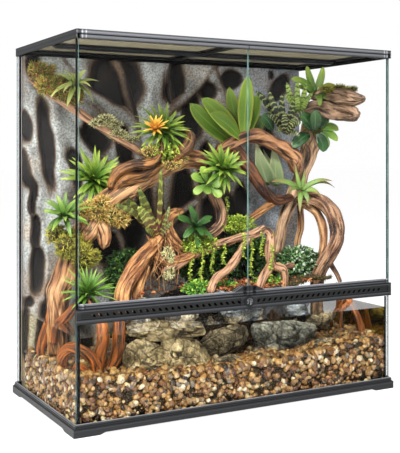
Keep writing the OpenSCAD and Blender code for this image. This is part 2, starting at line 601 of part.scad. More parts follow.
root_thin1 = [[424, -22, 262], [430, -20, 210], [406, -20, 160], [418, -22, 96]];
root_thin2 = [[420, -34, 262], [424, -40, 215], [418, -50, 146], [420, -58, 96]];
root_thick = [[404, -40, 262], [424, -68, 226], [427, -104, 190], [430, -124, 146], [430, -146, 100]];

wood = "#8a5a33";
module left_driftwood() {
    color(wood) fused() {
        limb(left_trunk, left_trunk_r);
        limb(cup, [16, 24, 24, 14], flat = 1.2);
        limb(left_fork, [22, 20, 12]);
    }
}
module arch_driftwood() {
    color(wood) fused() {
        limb(arch_limb, [22, 22, 22, 20, 18, 14]);
        limb(arch_inner, [14, 14, 12]);
        limb(arch_foot, [16, 14, 14, 10]);
        limb(hook_left, [10, 16, 20, 20, 16, 10]);
        limb(hook_right, [12, 17, 18, 17, 16, 13, 8]);
    }
}
module tan_branches() {
    color("#c9a477") fused() {
        limb(tan_long, [12, 12, 11, 12, 12, 11], sides = 6);
        limb(tan_drop, [11, 12, 14, 13, 10, 10], sides = 6);
        limb(tan_low, [10, 11, 11, 11, 10, 9], sides = 6);
        limb(tan_leg, [12, 12, 11], sides = 6);
        limb(tan_arm, [8, 8, 8], sides = 6);
    }
}
module trunk_driftwood() {
    color("#b39575") fused() {
        limb(pale_trunk, [34, 32, 27, 22, 20, 17, 16, 18, 18]);
        limb(curved_arm, [14, 18, 19, 18, 20, 20, 12], flat = 1.3);
        limb(dark_plate, [16, 18, 20, 17, 15, 14], flat = 1.4);
        limb(orange_strut, [12, 12, 8], sides = 6);
    }
}
module top_driftwood() {
    color("#7d5a3c") fused() {
        limb(top_upper, [18, 26, 26, 22, 12], knot = 0.2);
        limb(top_lower, [14, 22, 28, 28, 24, 14], knot = 0.2);
    }
}
module loop_driftwood() {
    color("#8f6a48") fused() {
        limb(loop_outer, [16, 20, 22, 22, 22, 20, 19, 18, 16, 14], knot = 0.18);
        limb(loop_inner, [11, 12, 12, 11, 9], sides = 6);
        limb(loop_back, [10, 10, 9, 8], sides = 6);
        limb(loop_twig, [7, 7, 6, 5], sides = 6);
    }
}
module mossy_branch() { color("#9a6b45") limb(mossy_limb, [7, 10, 11, 10, 9, 7], sides = 6); }
module left_roots() {
    color("#a9501d") {
        fused() {
            limb(root_u1, [12, 15, 14, 11, 9], sides = 6);
            limb(root_u2, [14, 15, 14, 12, 12], sides = 6);
        }
        fused() {
            limb(root_coil, [13, 14, 14, 14, 13, 12, 11], sides = 6);
            limb(root_knot, [10, 11, 10, 9], sides = 6);
        }
        limb(root_left, [12, 13, 12, 11, 9], sides = 6);
        limb(root_spur, [10, 11, 10, 9], sides = 6);
    }
}
module right_roots() {
    color("#a9501d") fused() {
        limb(root_thin1, [5, 5, 5, 4], sides = 5);
        limb(root_thin2, [6, 6, 5, 4], sides = 5);
        limb(root_thick, [9, 10, 10, 11, 10], sides = 6);
    }
}

// Cushions of moss and lichen: [x, y, z], [width, depth, height], seed
cushions = [[[-385, 128, 824], [110, 50, 72], 1], [[-222, 100, 700], [120, 44, 60], 2],
    [[-292, 20, 492], [110, 60, 66], 3], [[-372, 0, 398], [128, 70, 78], 4],
    [[402, -40, 822], [84, 90, 34], 5], [[404, 55, 720], [64, 56, 52], 6], [[300, -30, 284], [120, 80, 40], 7]];
module moss_patches() {
    color("#7d7a35") for (c = cushions)
        stone(c[0], c[1], power = 2.2, rough = 0.16, seed = c[2], rings = 5, sides = 10);
}

strap = [0.5, 0.8, 1, 0.75];
oval = [0.3, 0.85, 1, 0.7];
narrow = [0.8, 1, 0.6];
module air_plant() {
    color("#a3ad62") fused() {
        leaves([-335, 96, 812], [40, 0, 0],
            [[75, 80, 15, 82, 60], [20, 62, 15, 60, 110], [-20, 70, 15, 45, 120], [140, 55, 13, 60, 90],
                [190, 50, 12, 60, 100], [-80, 50, 13, 55, 110], [100, 40, 12, 75, 60]], narrow);
        stem([-336, 98, 812], [-352, 128, 806]);
    }
}
module lime_rosette() {
    color("#8cc12e") fused() {
        rosette([-282, 100, 563], [58, 0, -12], 18, 90, 18, inner = 85, outer = 5, bend = 40, profile = narrow);
        stem([-282, 102, 562], [-288, 192, 545]);
    }
}
module leafy_plants() {
    color("#6f9a3c") {
        fused() {
            leaves([-384, 6, 478], [35, 0, 0],
                [[150, 54, 20, 30, 60], [120, 74, 16, 65, 25], [75, 66, 24, 60, 60], [30, 84, 12, 60, 60],
                    [0, 60, 12, 30, 80], [215, 52, 14, 16, 70], [250, 64, 14, 10, 50], [300, 60, 12, 8, 60]], oval,
                core = 11);
            stem([-384, 9, 477], [-374, 12, 430], r = 6);
        }
        fused() {
            leaves([-40, -18, 440], [40, 0, 0],
                [[160, 62, 22, 30, 50], [195, 62, 20, 15, 60], [125, 62, 20, 55, 50], [85, 62, 20, 70, 40],
                    [45, 60, 18, 55, 60], [10, 52, 18, 40, 70], [235, 56, 18, 4, 50], [280, 56, 18, 2, 50]], oval);
            stem([-40, -16, 440], [-40, 34, 426]);
        }
        fused() {
            leaves([310, -8, 532], [35, 0, 0],
                [[170, 96, 16, 20, 70], [130, 70, 14, 50, 50], [95, 110, 10, 80, 20], [60, 90, 14, 60, 60],
                    [15, 106, 14, 50, 90], [2, 104, 16, 36, 90], [-60, 60, 14, 12, 60], [265, 84, 16, -40, 30],
                    [215, 70, 14, 10, 60]], oval, core = 11);
            stem([311, -4, 531], [336, 52, 506], r = 6);
        }
    }
}
module grass_plants() {
    color("#5c9a2e") {
        fused() rosette([-362, -62, 288], [30, 0, 0], 14, 74, 13, inner = 88, outer = 15, bend = 45, profile = narrow,
            thick = 1.4);
        fused() rosette([-52, -66, 281], [20, 0, 0], 9, 42, 14, inner = 85, outer = 10, bend = 50, profile = oval,
            thick = 1.4);
    }
}
module shrubs() {
    color("#2f6b28") {
        stone([-202, 70, 320], [100, 84, 112], power = 2.2, rough = 0.2, seed = 3, rings = 6, sides = 11);
        stone([330, 40, 312], [130, 84, 88], power = 2.2, rough = 0.2, seed = 6, rings = 6, sides = 11);
    }
}
module red_bromeliad() {
    color("#6d4f2c") fused() leaves([-148, -8, 420], [25, 0, 0],
        [[165, 150, 34, 40, 30], [130, 120, 34, 65, 35], [90, 175, 24, 88, 14], [60, 130, 26, 78, 30],
            [20, 78, 22, 60, 30], [200, 120, 28, 25, 60], [-60, 60, 24, 50, 50]], strap, core = 14);
}
module flowering_bromeliad() {
    color("#7fb32b") fused() {
        stem([-112, 42, 688], [-108, 64, 604]);
        rosette([-112, 40, 690], [45, 0, 0], 17, 86, 16, inner = 80, outer = 0, bend = 55, profile = narrow, seed = 2);
        stem([-114, 38, 690], [-134, 3, 741], r = 2.5);
        rosette([-136, 0, 744], [30, 0, 0], 6, 30, 12, inner = 72, outer = 34, bend = 20, profile = oval, core = 0.25);
    }
}
module broadleaf_plant() {
    color("#74a332") {
        fused() leaves([150, 60, 668], [12, 0, 0],
            [[88, 222, 44, 84, 8], [150, 150, 46, 66, 20], [172, 190, 54, 44, 22], [185, 170, 50, 26, 30],
                [120, 175, 48, 74, 18], [30, 140, 44, 74, 40], [200, 140, 44, 14, 30], [-10, 110, 36, 60, 60]],
            oval, thick = 2.4, core = 12);
        fused() {
            leaves([262, 74, 548], [0, 0, 0],
                [[170, 122, 44, 84, 24], [30, 118, 42, 82, 24], [100, 108, 40, 86, 20]], oval, thick = 2.2, core = 10);
            stem([262, 73, 548], [272, 60, 506]);
        }
    }
}
module centre_rosettes() {
    color("#7ec032") {
        fused() {
            rosette([54, 6, 590], [55, 0, 0], 16, 78, 17, inner = 85, outer = 2, bend = 40, profile = narrow);
            stem([54, 8, 589], [42, 58, 606]);
        }
        fused() {
            rosette([8, 2, 554], [65, 0, 0], 8, 60, 27, inner = 60, outer = 5, bend = 35, profile = oval);
            stem([9, 4, 554], [41, 58, 542]);
        }
    }
}
// Hanging strands: [x, y, z of the root], length
strands = [[[-60, -32, 405], 110], [[-30, -36, 400], 130], [[5, -30, 392], 78], [[40, -30, 398], 60],
    [[95, -44, 425], 70], [[128, -30, 414], 114], [[160, -32, 426], 70], [[190, -38, 418], 60],
    [[172, -62, 392], 104], [[84, 30, 520], 74]];
module trailing_vines() {
    color("#96a82c") for (s = strands)
        limb([s[0], s[0] + [4, 0, -s[1] * 0.35], s[0] + [-4, -3, -s[1] * 0.7], s[0] + [3, 0, -s[1]]],
            [4, 6, 6, 3], sides = 5, step = 1, ref = [0, 1, 0.01]);
}
module striped_bromeliads() {
    color("#4d5f35") {
        fused() {
            stem([262, 20, 712], [244, 38, 668]);
            leaves([262, 18, 712], [30, 0, 0],
                [[150, 130, 28, 62, 30], [110, 108, 28, 78, 20], [62, 96, 28, 70, 30], [20, 74, 28, 45, 40],
                    [190, 80, 26, 30, 50], [-60, 60, 26, 30, 50]], strap, core = 11);
        }
        fused() {
            stem([312, 20, 770], [332, 44, 734]);
            leaves([312, 20, 772], [35, 0, -10],
                [[115, 76, 28, 72, 30], [70, 84, 30, 80, 30], [30, 74, 30, 60, 50], [160, 44, 26, 50, 60],
                    [-60, 50, 26, 40, 50]], strap, core = 11);
        }
    }
}
module top_plants() {
    color("#6da33a") {
        fused() leaves([372, 2, 822], [15, 0, 0],
            [[105, 74, 20, 82, 20], [75, 72, 20, 78, 30], [170, 84, 22, 40, 60], [-10, 62, 20, 40, 80],
                [250, 54, 18, 10, 50]], oval);
        fused() {
            leaves([378, 4, 708], [20, 0, 0],
                [[150, 70, 34, 30, 60], [200, 70, 30, 10, 60], [60, 60, 28, 60, 60], [-95, 70, 24, 20, 50],
                    [-120, 64, 26, 2, 50], [260, 66, 24, -30, 40]], oval, core = 14);
            stem([379, 5, 709], [384, 0, 752]);
        }
    }
}

base_frame();
floor_glass();
back_glass();
left_glass();
right_glass();
front_glass();
silicone_seams();
vent_strip();
lock_housing();
lock_cylinder();
lock_cam();
top_frame();
screen_frame(-1);  // left_screen_frame
screen_mesh(-1);  // left_screen_mesh
screen_frame(1);  // right_screen_frame
screen_mesh(1);  // right_screen_mesh
clip(-221, window_y0 - 14, 1);  // left_front_clip
clip(-221, window_y1 + 1, -1);  // left_rear_clip
clip(221, window_y0 - 14, 1);  // right_front_clip
clip(221, window_y1 + 1, -1);  // right_rear_clip
inlet_slider(-slider_x - slider_travel / 2);  // left_inlet_slider
inlet_slider(slider_x - slider_travel / 2);  // right_inlet_slider
door_glass(-1);  // left_door_glass
door_top_rail(-1);  // left_door_top_rail
door_bottom_rail(-1);  // left_door_bottom_rail
hinge_pins(-1);  // left_hinge_pins
door_glass(1);  // right_door_glass
door_top_rail(1);  // right_door_top_rail
door_bottom_rail(1);  // right_door_bottom_rail
hinge_pins(1);  // right_hinge_pins
foam_background();
gravel_bed();
land_bank();
grey_boulder();
middle_boulder();
left_boulder();
flat_slab();
small_stones();
left_driftwood();
arch_driftwood();
tan_branches();
trunk_driftwood();
top_driftwood();
loop_driftwood();
mossy_branch();
left_roots();
right_roots();
moss_patches();
air_plant();
lime_rosette();
leafy_plants();
grass_plants();
shrubs();
red_bromeliad();
flowering_bromeliad();
broadleaf_plant();
centre_rosettes();
trailing_vines();
striped_bromeliads();
top_plants();
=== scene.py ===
"""A planted glass terrarium with a water part, dressed round its construction frame."""

import logging
import math
from dataclasses import dataclass
from enum import Enum
from functools import lru_cache, partial
from typing import Callable, Iterable

import bpy
import numpy as np
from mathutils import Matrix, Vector


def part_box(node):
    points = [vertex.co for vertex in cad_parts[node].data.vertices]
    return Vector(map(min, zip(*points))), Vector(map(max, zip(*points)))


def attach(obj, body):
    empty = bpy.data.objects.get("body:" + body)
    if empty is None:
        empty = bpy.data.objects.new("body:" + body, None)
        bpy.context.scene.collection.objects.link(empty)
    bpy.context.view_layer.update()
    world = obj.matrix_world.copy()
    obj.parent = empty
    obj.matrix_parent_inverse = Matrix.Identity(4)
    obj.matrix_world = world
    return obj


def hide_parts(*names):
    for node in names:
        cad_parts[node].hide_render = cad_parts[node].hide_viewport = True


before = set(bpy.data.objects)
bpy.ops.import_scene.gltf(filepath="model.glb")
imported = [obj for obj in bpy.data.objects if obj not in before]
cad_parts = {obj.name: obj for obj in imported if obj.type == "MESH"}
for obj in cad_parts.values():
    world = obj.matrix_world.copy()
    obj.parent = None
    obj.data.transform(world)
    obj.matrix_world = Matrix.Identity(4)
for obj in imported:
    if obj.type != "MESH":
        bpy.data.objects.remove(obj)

log = logging.getLogger("terrarium")
MM = 0.001
ROOT = "root"
GOLDEN_TURN = math.radians(137.5)
# The strip, the doors' rails and the lid share this plane
FRONT_PLANE = -227.0
Point = tuple[float, float, float]
Adder = Callable[..., bpy.types.Node]


# ---------- colour, nodes and patterns ----------


def linear(code: str) -> tuple[float, float, float, float]:
    """Turns an sRGB hex value into linear light.

    Args:
        code: The colour, such as "#8a5a33".

    Returns:
        Red, green, blue and an alpha of 1.
    """
    parts = [int(code[i:i + 2], 16) / 255 for i in (1, 3, 5)]
    lit = [p / 12.92 if p <= 0.04045 else ((p + 0.055) / 1.055) ** 2.4 for p in parts]
    return (lit[0], lit[1], lit[2], 1.0)


def per(size: float) -> float:
    """Returns the scale of a pattern whose features are size millimetres wide."""
    return 1 / (size * MM)


def add_node(tree: bpy.types.NodeTree, kind: str, settings: dict | str | None = None,
             sockets: dict | None = None,
             stops: tuple = ()) -> bpy.types.Node:
    """Adds one node to a material's tree.

    Args:
        tree: The material's node tree.
        kind: The node's type, without the words that all shader nodes' types start with.
        settings: Properties to set on the node, or its operation alone.
        sockets: What goes into each input: a value, an output, or a node whose first output is meant.
        stops: Colours of a ramp, as pairs of place and hex colour.

    Returns:
        The new node.
    """
    node = tree.nodes.new("ShaderNode" + kind)
    if isinstance(settings, str):
        settings = {"operation": settings}
    for key, value in (settings or {}).items():
        setattr(node, key, value)
    for key, value in (sockets or {}).items():
        if isinstance(value, bpy.types.Node):
            value = value.outputs[0]
        if isinstance(value, bpy.types.NodeSocket):
            tree.links.new(value, node.inputs[key])
        else:
            node.inputs[key].default_value = value
    for number, (place, code) in enumerate(stops):
        ramp = node.color_ramp.elements
        stop = ramp[number] if number < len(ramp) else ramp.new(place)
        stop.position = place
        stop.color = linear(code)
    return node


def lattice(cell: np.ndarray, seed: int) -> np.ndarray:
    """Gives every whole-number cell its own steady value.

    Args:
        cell: Whole numbers, three to a cell.
        seed: Picks one of many sets of values.

    Returns:
        A value from -1 to 1 for each cell.
    """
    mixed = (cell[..., 0] * 73856093) ^ (cell[..., 1] * 19349663) ^ (cell[...,
                                                                          2] * 83492791) ^ (seed * 2654435)
    mixed = ((mixed ^ (mixed >> 13)) * 1274126177) & 0x7FFFFFFF
    mixed = (mixed ^ (mixed >> 15)) & 0xFFFF
    return mixed / 32767.5 - 1


def lumps(points: np.ndarray, size: float, seed: int = 0, octaves: int = 1) -> np.ndarray:
    """Smooth random relief.

    Args:
        points: Where to read it, in millimetres.
        size: Width of the broadest lumps, in millimetres.
        seed: Picks the relief.
        octaves: How many ever finer reliefs are added up.

    Returns:
        A value of about -1 to 1 for each point.
    """
    total = np.zeros(points.shape[:-1])
    weight = 0.0
    for octave in range(octaves):
        place = points / (size / 2 ** octave)
        cell = np.floor(place).astype(np.int64)
        part = place - cell
        part = part * part * (3 - 2 * part)
        for corner in np.ndindex(2, 2, 2):
            share = np.prod(np.where(np.array(corner) == 1, part, 1 - part), axis=-1)
            total += share * lattice(cell + np.array(corner), seed + octave * 31) / 2 ** octave
        weight += 1 / 2 ** octave
    return total / weight


def mirror_share(add: Adder, least: float, most: float) -> bpy.types.Node:
    """How much a clear face mirrors: the least seen square on, rising as it is seen edge on.

    Args:
        add: Adds a node to the material.
        least: Share square on.
        most: What is added edge on.

    Returns:
        The share.
    """
    slant = add("LayerWeight")
    steep = add("Math", "POWER", {0: slant.outputs["Facing"], 1: 5.0})
    return add("Math", "MULTIPLY_ADD", {0: steep, 1: most, 2: least})


# ---------- shapes that everything is made from ----------


@dataclass(frozen=True)
class Ball:
    """A sphere's grid: the ring and the turn round it of each point, and its faces."""

    ring: np.ndarray
    turn: np.ndarray
    faces: tuple


def faces_by_size(mesh: bpy.types.Mesh) -> tuple:
    """Returns the corner numbers of a mesh's faces, one array for each number of corners."""
    rows = {}
    for face in mesh.polygons:
        rows.setdefault(len(face.vertices), []).append(tuple(face.vertices))
    return tuple(np.array(row) for row in rows.values())


def take_points(made: bpy.types.Object) -> tuple[np.ndarray, tuple]:
    """Reads a modelled shape and removes its object.

    Args:
        made: The shape's object.

    Returns:
        Its points and its faces by size.
    """
    mesh = made.data
    points = np.zeros(len(mesh.vertices) * 3)
    mesh.vertices.foreach_get("co", points)
    faces = faces_by_size(mesh)
    bpy.data.objects.remove(made)
    bpy.data.meshes.remove(mesh)
    return points.reshape(-1, 3), faces


def deselect() -> None:
    """Leaves nothing selected."""
    for obj in bpy.context.selected_objects:
        obj.select_set(False)


@lru_cache(maxsize=None)
def ball(segments: int, rings: int) -> Ball:
    """Adds a sphere and reads its grid, which limbs, leaves and wisps are shaped from.

    Args:
        segments: Points in each ring.
        rings: Steps from pole to pole.

    Returns:
        The grid, its rings counted from the lower pole.
    """
    deselect()
    bpy.ops.mesh.primitive_uv_sphere_add(segments=segments, ring_count=rings, radius=1)
    points, faces = take_points(bpy.context.object)
    out = np.hypot(points[:, 0], points[:, 1])
    ring = np.rint(np.arctan2(out, -points[:, 2]) / math.pi * rings).astype(int)
    step = 2 * math.pi / segments
    turn = np.rint(np.arctan2(points[:, 1], points[:, 0]) / step) * step
    return Ball(ring, turn, faces)


@lru_cache(maxsize=None)
def pebble_form() -> tuple[np.ndarray, tuple]:
    """Adds a cube, divides it and rounds it into the form that every pebble is copied from."""
    deselect()
    bpy.ops.mesh.primitive_cube_add(size=2)
    bpy.ops.object.mode_set(mode="EDIT")
    bpy.ops.mesh.subdivide(number_cuts=1)
    bpy.ops.object.mode_set(mode="OBJECT")
    points, faces = take_points(bpy.context.object)
    return points / np.linalg.norm(points, axis=1, keepdims=True), faces


@lru_cache(maxsize=None)
def rock_form(levels: int) -> tuple[np.ndarray, tuple]:
    """Adds an even sphere of triangles, which boulders and cushions are carved from."""
    deselect()
    bpy.ops.mesh.primitive_ico_sphere_add(subdivisions=levels, radius=1)
    points, faces = take_points(bpy.context.object)
    return points / np.linalg.norm(points, axis=1, keepdims=True), faces


@dataclass(frozen=True)
class Inside:
    """The clear inside of the tank in millimetres, read from its panes."""

    half: float
    front: float
    back: float
    floor: float
    top: float

    @classmethod
    def measured(cls) -> "Inside":
        """Reads the panes and the lid."""
        return cls(
            half=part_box("right_glass")[0].x / MM,
            front=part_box("front_glass")[1].y / MM,
            back=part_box("back_glass")[0].y / MM,
            floor=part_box("floor_glass")[1].z / MM,
            top=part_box("top_frame")[0].z / MM,
        )

    def keep(self, points: np.ndarray, gap: float = 0.6) -> np.ndarray:
        """Presses points that would pass through a pane flat against it.

        Args:
            points: Points in millimetres.
            gap: Space left at each pane.

        Returns:
            The points, all inside.
        """
        low = np.array([-self.half + gap, self.front + gap, self.floor + 0.2])
        high = np.array([self.half - gap, self.back - 0.3, self.top - gap])
        return np.clip(points, low, high)


INSIDE = Inside.measured()


def smooth_step(value: np.ndarray, low: float, high: float) -> np.ndarray:
    """Returns 0 below low, 1 above high and an even slope between."""
    part = np.clip((value - low) / (high - low), 0, 1)
    return part * part * (3 - 2 * part)


def unit(vectors: np.ndarray) -> np.ndarray:
    """Returns vectors of length 1."""
    return vectors / np.maximum(np.linalg.norm(vectors, axis=-1, keepdims=True), 1e-9)


class Heap:
    """Many small shapes that become the mesh of one piece."""

    def __init__(self) -> None:
        """Starts empty."""
        self.points: list[np.ndarray] = []
        self.faces: list[np.ndarray] = []
        self.grain: list[np.ndarray] = []
        self.tone: list[np.ndarray] = []
        self.count = 0

    def add(self, points: np.ndarray, faces: tuple, grain: np.ndarray, tone: np.ndarray) -> None:
        """Adds one shape.

        Args:
            points: Its points in millimetres.
            faces: Its faces by size.
            grain: Three values at each point that its pattern follows.
            tone: One value at each point that shades it.
        """
        self.points.append(points)
        self.faces += [face + self.count for face in faces]
        self.grain.append(grain)
        self.tone.append(np.broadcast_to(tone, len(points)))
        self.count += len(points)

    def scatter(self, form: tuple[np.ndarray, tuple], places: np.ndarray, frames: np.ndarray,
                tones: np.ndarray,
                grain: np.ndarray | None = None) -> None:
        """Adds a copy of a small form at each place.

        Args:
            form: Points and faces of the form.
            places: Where each copy goes, in millimetres.
            frames: Each copy's three axes, as rows, with its size in them.
            tones: One shade for each copy.
            grain: Values at the form's points that its pattern follows.
        """
        points, faces = form
        copies = len(places)
        put = np.einsum("mj,njk->nmk", points, frames) + places[:, None, :]
        start = self.count + np.arange(copies)[:, None, None] * len(points)
        self.points.append(put.reshape(-1, 3))
        self.faces += [(face[None] + start).reshape(-1, face.shape[1]) for face in faces]
        self.grain.append(np.tile(points if grain is None else grain, (copies, 1)))
        self.tone.append(np.repeat(tones, len(points)))
        self.count += copies * len(points)

    def piece(self, name: str, finish: "Finish", nodes: tuple[str, ...] = (), smooth: bool = True,
              inside: bool = True) -> bpy.types.Object:
        """Makes the piece, fixed to the tank.

        Args:
            name: The piece's name.
            finish: Its finish.
            nodes: Parts of the frame that it stands for.
            smooth: Whether its faces are shaded smooth.
            inside: Whether it is kept clear of the panes.

        Returns:
            The new object.
        """
        points = np.concatenate(self.points)
        if inside:
            points = INSIDE.keep(points)
        corners = np.concatenate([face.ravel() for face in self.faces])
        sizes = np.concatenate([np.full(len(face), face.shape[1]) for face in self.faces])
        mesh = bpy.data.meshes.new(name)
        mesh.vertices.add(len(points))
        mesh.vertices.foreach_set("co", (points * MM).ravel())
        mesh.loops.add(len(corners))
        mesh.loops.foreach_set("vertex_index", corners)
        mesh.polygons.add(len(sizes))
        mesh.polygons.foreach_set("loop_start", np.cumsum(sizes) - sizes)
        mesh.update(calc_edges=True)
        mesh.polygons.foreach_set("use_smooth", np.full(len(sizes), smooth))
        grain = mesh.attributes.new("grain", "FLOAT_VECTOR", "POINT")
        grain.data.foreach_set("vector", np.concatenate(self.grain).astype(np.float32).ravel())
        tone = mesh.attributes.new("tone", "FLOAT", "POINT")
        tone.data.foreach_set("value", np.concatenate(self.tone).astype(np.float32))
        made = bpy.data.objects.new(name, mesh)
        bpy.context.scene.collection.objects.link(made)
        return dress(made, finish, nodes=nodes)


def dress(made: bpy.types.Object, finish: "Finish", body: str = ROOT,
          nodes: tuple[str, ...] = ()) -> bpy.types.Object:
    """Gives a new piece its finish and its place in the assembly.

    Args:
        made: The piece.
        finish: Its finish.
        body: The body that it moves with.
        nodes: Parts of the frame that it stands for.

    Returns:
        The piece.
    """
    made.data.materials.clear()
    made.data.materials.append(finish.material())
    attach(made, body)
    if nodes:
        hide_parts(*nodes)
    log.info("%s: %d faces, %s", made.name, len(made.data.polygons), finish.title)
    return made


def assemble(name: str, finish: Enum, shapes: Iterable, nodes: tuple[str, ...] = ()) -> None:
    """Makes one piece of many shapes.

    Args:
        name: The piece's name.
        finish: Its finish, out of one of the lists.
        shapes: Limbs, leaves, plants or rocks, each of which adds itself to a heap.
        nodes: Parts of the frame that it stands for.
    """
    heap = Heap()
    for shape in shapes:
        shape.grow(heap)
    heap.piece(name, finish.value, nodes)


def refinish(nodes: tuple[str, ...], finish: "Finish") -> None:
    """Gives parts of the frame whose shape is right their finish.

    Args:
        nodes: The parts' names.
        finish: Their finish.
    """
    for name in nodes:
        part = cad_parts[name]
        part.data.materials.clear()
        part.data.materials.append(finish.material())
        log.info("%s: %s", name, finish.title)


# ---------- finishes ----------


@dataclass(frozen=True)
class Finish:
    """A finish: its material's name and the name of a record's slot, which is not used."""

    title: str
    slot: str

    def material(self) -> bpy.types.Material:
        """Returns the finish's material, which is made once."""
        found = bpy.data.materials.get(self.title)
        if found:
            return found
        made = bpy.data.materials.new(self.title)
        made.use_nodes = True
        made.node_tree.nodes.clear()
        add = partial(add_node, made.node_tree)
        add("OutputMaterial", sockets={"Surface": self.surface(add)})
        return made

    def surface(self, add: Adder) -> bpy.types.Node:
        """Builds the shader; each finish has its own."""
        raise NotImplementedError


@dataclass(frozen=True)
class MouldedPlastic(Finish):
    """Injection-moulded ABS: a fine spark-eroded grain, faint mottling, and upper faces lighter with dust and
    with painted light from above.
    """

    colour: str
    dust_and_top_light: str
    roughness: float = 0.46
    front: str = ""
    # Painted lines of light and shade: their axis, middle and half width in millimetres, and brightness
    bands: tuple[tuple[str, float, float, float], ...] = ()
    # From this place backwards the plastic is painted dark
    deep: float = 1000.0

    def surface(self, add: Adder) -> bpy.types.Node:
        """Builds the shader."""
        place = add("TexCoord")
        spot = place.outputs["Object"]
        # The mould's grain is about 0.1 mm, drawn 1.2 mm wide so that it shows
        grain = add("TexNoise", sockets={"Vector": spot, "Scale": per(1.2), "Detail": 3.0})
        mottle = add("TexNoise", sockets={"Vector": spot, "Scale": per(45)})
        up = add("SeparateXYZ", sockets={0: place.outputs["Normal"]})
        # Upward faces are painted lighter: partly dust, partly painted light from above
        laid = add("MapRange", sockets={0: up.outputs["Z"], 1: 0.3, 2: 1.0, 3: 0.0, 4: 0.55})
        dusty_and_lit = add("Math", "MULTIPLY", {0: laid, 1: mottle.outputs["Fac"]})
        shade = add("Mix", {"data_type": "RGBA"},
                    {"Factor": dusty_and_lit, "A": linear(self.colour), "B": linear(self.dust_and_top_light)})
        where = add("SeparateXYZ", sockets={0: spot})
        ahead = add("Math", "COMPARE", {0: where.outputs["Y"], 1: FRONT_PLANE * MM, 2: MM})
        faced = add("Mix", {"data_type": "RGBA"}, {
            "Factor": ahead, "A": shade.outputs[2], "B": linear(self.front or self.colour),
        })
        value = add("MapRange", sockets={0: grain.outputs["Fac"], 1: 0.3, 2: 0.7, 3: 0.9, 4: 1.1})
        # What lies behind the face, such as a slot's walls, gets hardly any light
        behind = add("Math", "GREATER_THAN", {0: where.outputs["Y"], 1: self.deep * MM})
        marks = [(behind, 0.05)]
        for axis, middle, half, brightness in self.bands:
            marks.append((add("Math", "COMPARE", {
                0: where.outputs[axis], 1: middle * MM, 2: half * MM,
            }), brightness))
        for mark, brightness in marks:
            change = add("MapRange", sockets={0: mark, 3: 1.0, 4: brightness})
            value = add("Math", "MULTIPLY", {0: value, 1: change})
        varied = add("HueSaturation", sockets={"Color": faced.outputs[2], "Value": value})
        bump = add("Bump", sockets={"Height": grain.outputs["Fac"], "Strength": 0.25, "Distance": 0.0003})
        gloss = add("BsdfPrincipled", sockets={
            "Base Color": varied, "Roughness": self.roughness, "Normal": bump,
            "Specular IOR Level": 0.2,
        })
        return gloss


@dataclass(frozen=True)
class Rubber(Finish):
    """Black silicone: a soft, slightly wavy skin with a low sheen."""

    colour: str

    def surface(self, add: Adder) -> bpy.types.Node:
        """Builds the shader."""
        spot = add("TexCoord").outputs["Object"]
        wave = add("TexNoise", sockets={"Vector": spot, "Scale": per(9)})
        shade = add("ValToRGB", sockets={0: wave.outputs["Fac"]},
                    stops=((0.3, self.colour), (0.8, "#151617")))
        bump = add("Bump", sockets={"Height": wave.outputs["Fac"], "Strength": 0.4, "Distance": 0.0008})
        return add("BsdfPrincipled", sockets={
            "Base Color": shade, "Roughness": 0.6, "Normal": bump, "Specular IOR Level": 0.08,
        })


@dataclass(frozen=True)
class Metal(Finish):
    """Plated or drawn metal: bright, with fine turning marks; on the chrome a coarse pattern of dark and
    bright patches is painted reflection.
    """

    colour: str
    roughness: float
    dark: str = "#77797b"
    marks: float = 0.8

    def surface(self, add: Adder) -> bpy.types.Node:
        """Builds the shader."""
        spot = add("TexCoord").outputs["Object"]
        marks = add("TexNoise", sockets={"Vector": spot, "Scale": per(self.marks), "Detail": 4.0})
        rough = add("MapRange", sockets={
            0: marks.outputs["Fac"], 1: 0.3, 2: 0.7, 3: self.roughness * 0.6, 4: self.roughness * 1.5,
        })
        # On the chrome these stops paint dark reflections and highlights
        shade = add("ValToRGB", sockets={0: marks.outputs["Fac"]},
                    stops=((0.4, self.dark), (0.6, self.colour)))
        return add("BsdfPrincipled", sockets={"Base Color": shade, "Metallic": 1.0, "Roughness": rough})


@dataclass(frozen=True)
class FloatGlass(Finish):
    """Float glass: nearly unseen face on, blue-green where its cut edges gather the light."""

    across: int
    edge: str = "#4d726d"
    glint: str = "#7d9f99"
    edge_cover: float = 0.8

    def surface(self, add: Adder) -> bpy.types.Node:
        """Builds the shader."""
        place = add("TexCoord")
        spot = place.outputs["Object"]
        normal = add("SeparateXYZ", sockets={0: place.outputs["Normal"]})
        facing = add("Math", "ABSOLUTE", {0: normal.outputs[self.across]})
        cut = add("Math", "LESS_THAN", {0: facing, 1: 0.5})
        clear = add("BsdfTransparent", sockets={"Color": linear("#ffffff")})
        shine = add("BsdfGlossy", sockets={"Roughness": 0.01, "Color": linear("#ffffff")})
        # Two faces of real glass mirror 8 %; less keeps the planting's darks as clear as they look
        face = add("MixShader", sockets={0: mirror_share(add, 0.002, 0.06), 1: clear, 2: shine})
        streak = add("TexNoise", sockets={"Vector": spot, "Scale": per(30)})
        tint = add("ValToRGB", sockets={0: streak.outputs["Fac"]},
                   stops=((0.3, self.edge), (0.75, self.glint)))
        rim = add("BsdfPrincipled", sockets={"Base Color": tint, "Roughness": 0.3, "Specular IOR Level": 0.1})
        seen = add("MixShader", sockets={0: self.edge_cover, 1: clear, 2: rim})
        return add("MixShader", sockets={0: cut, 1: face, 2: seen})


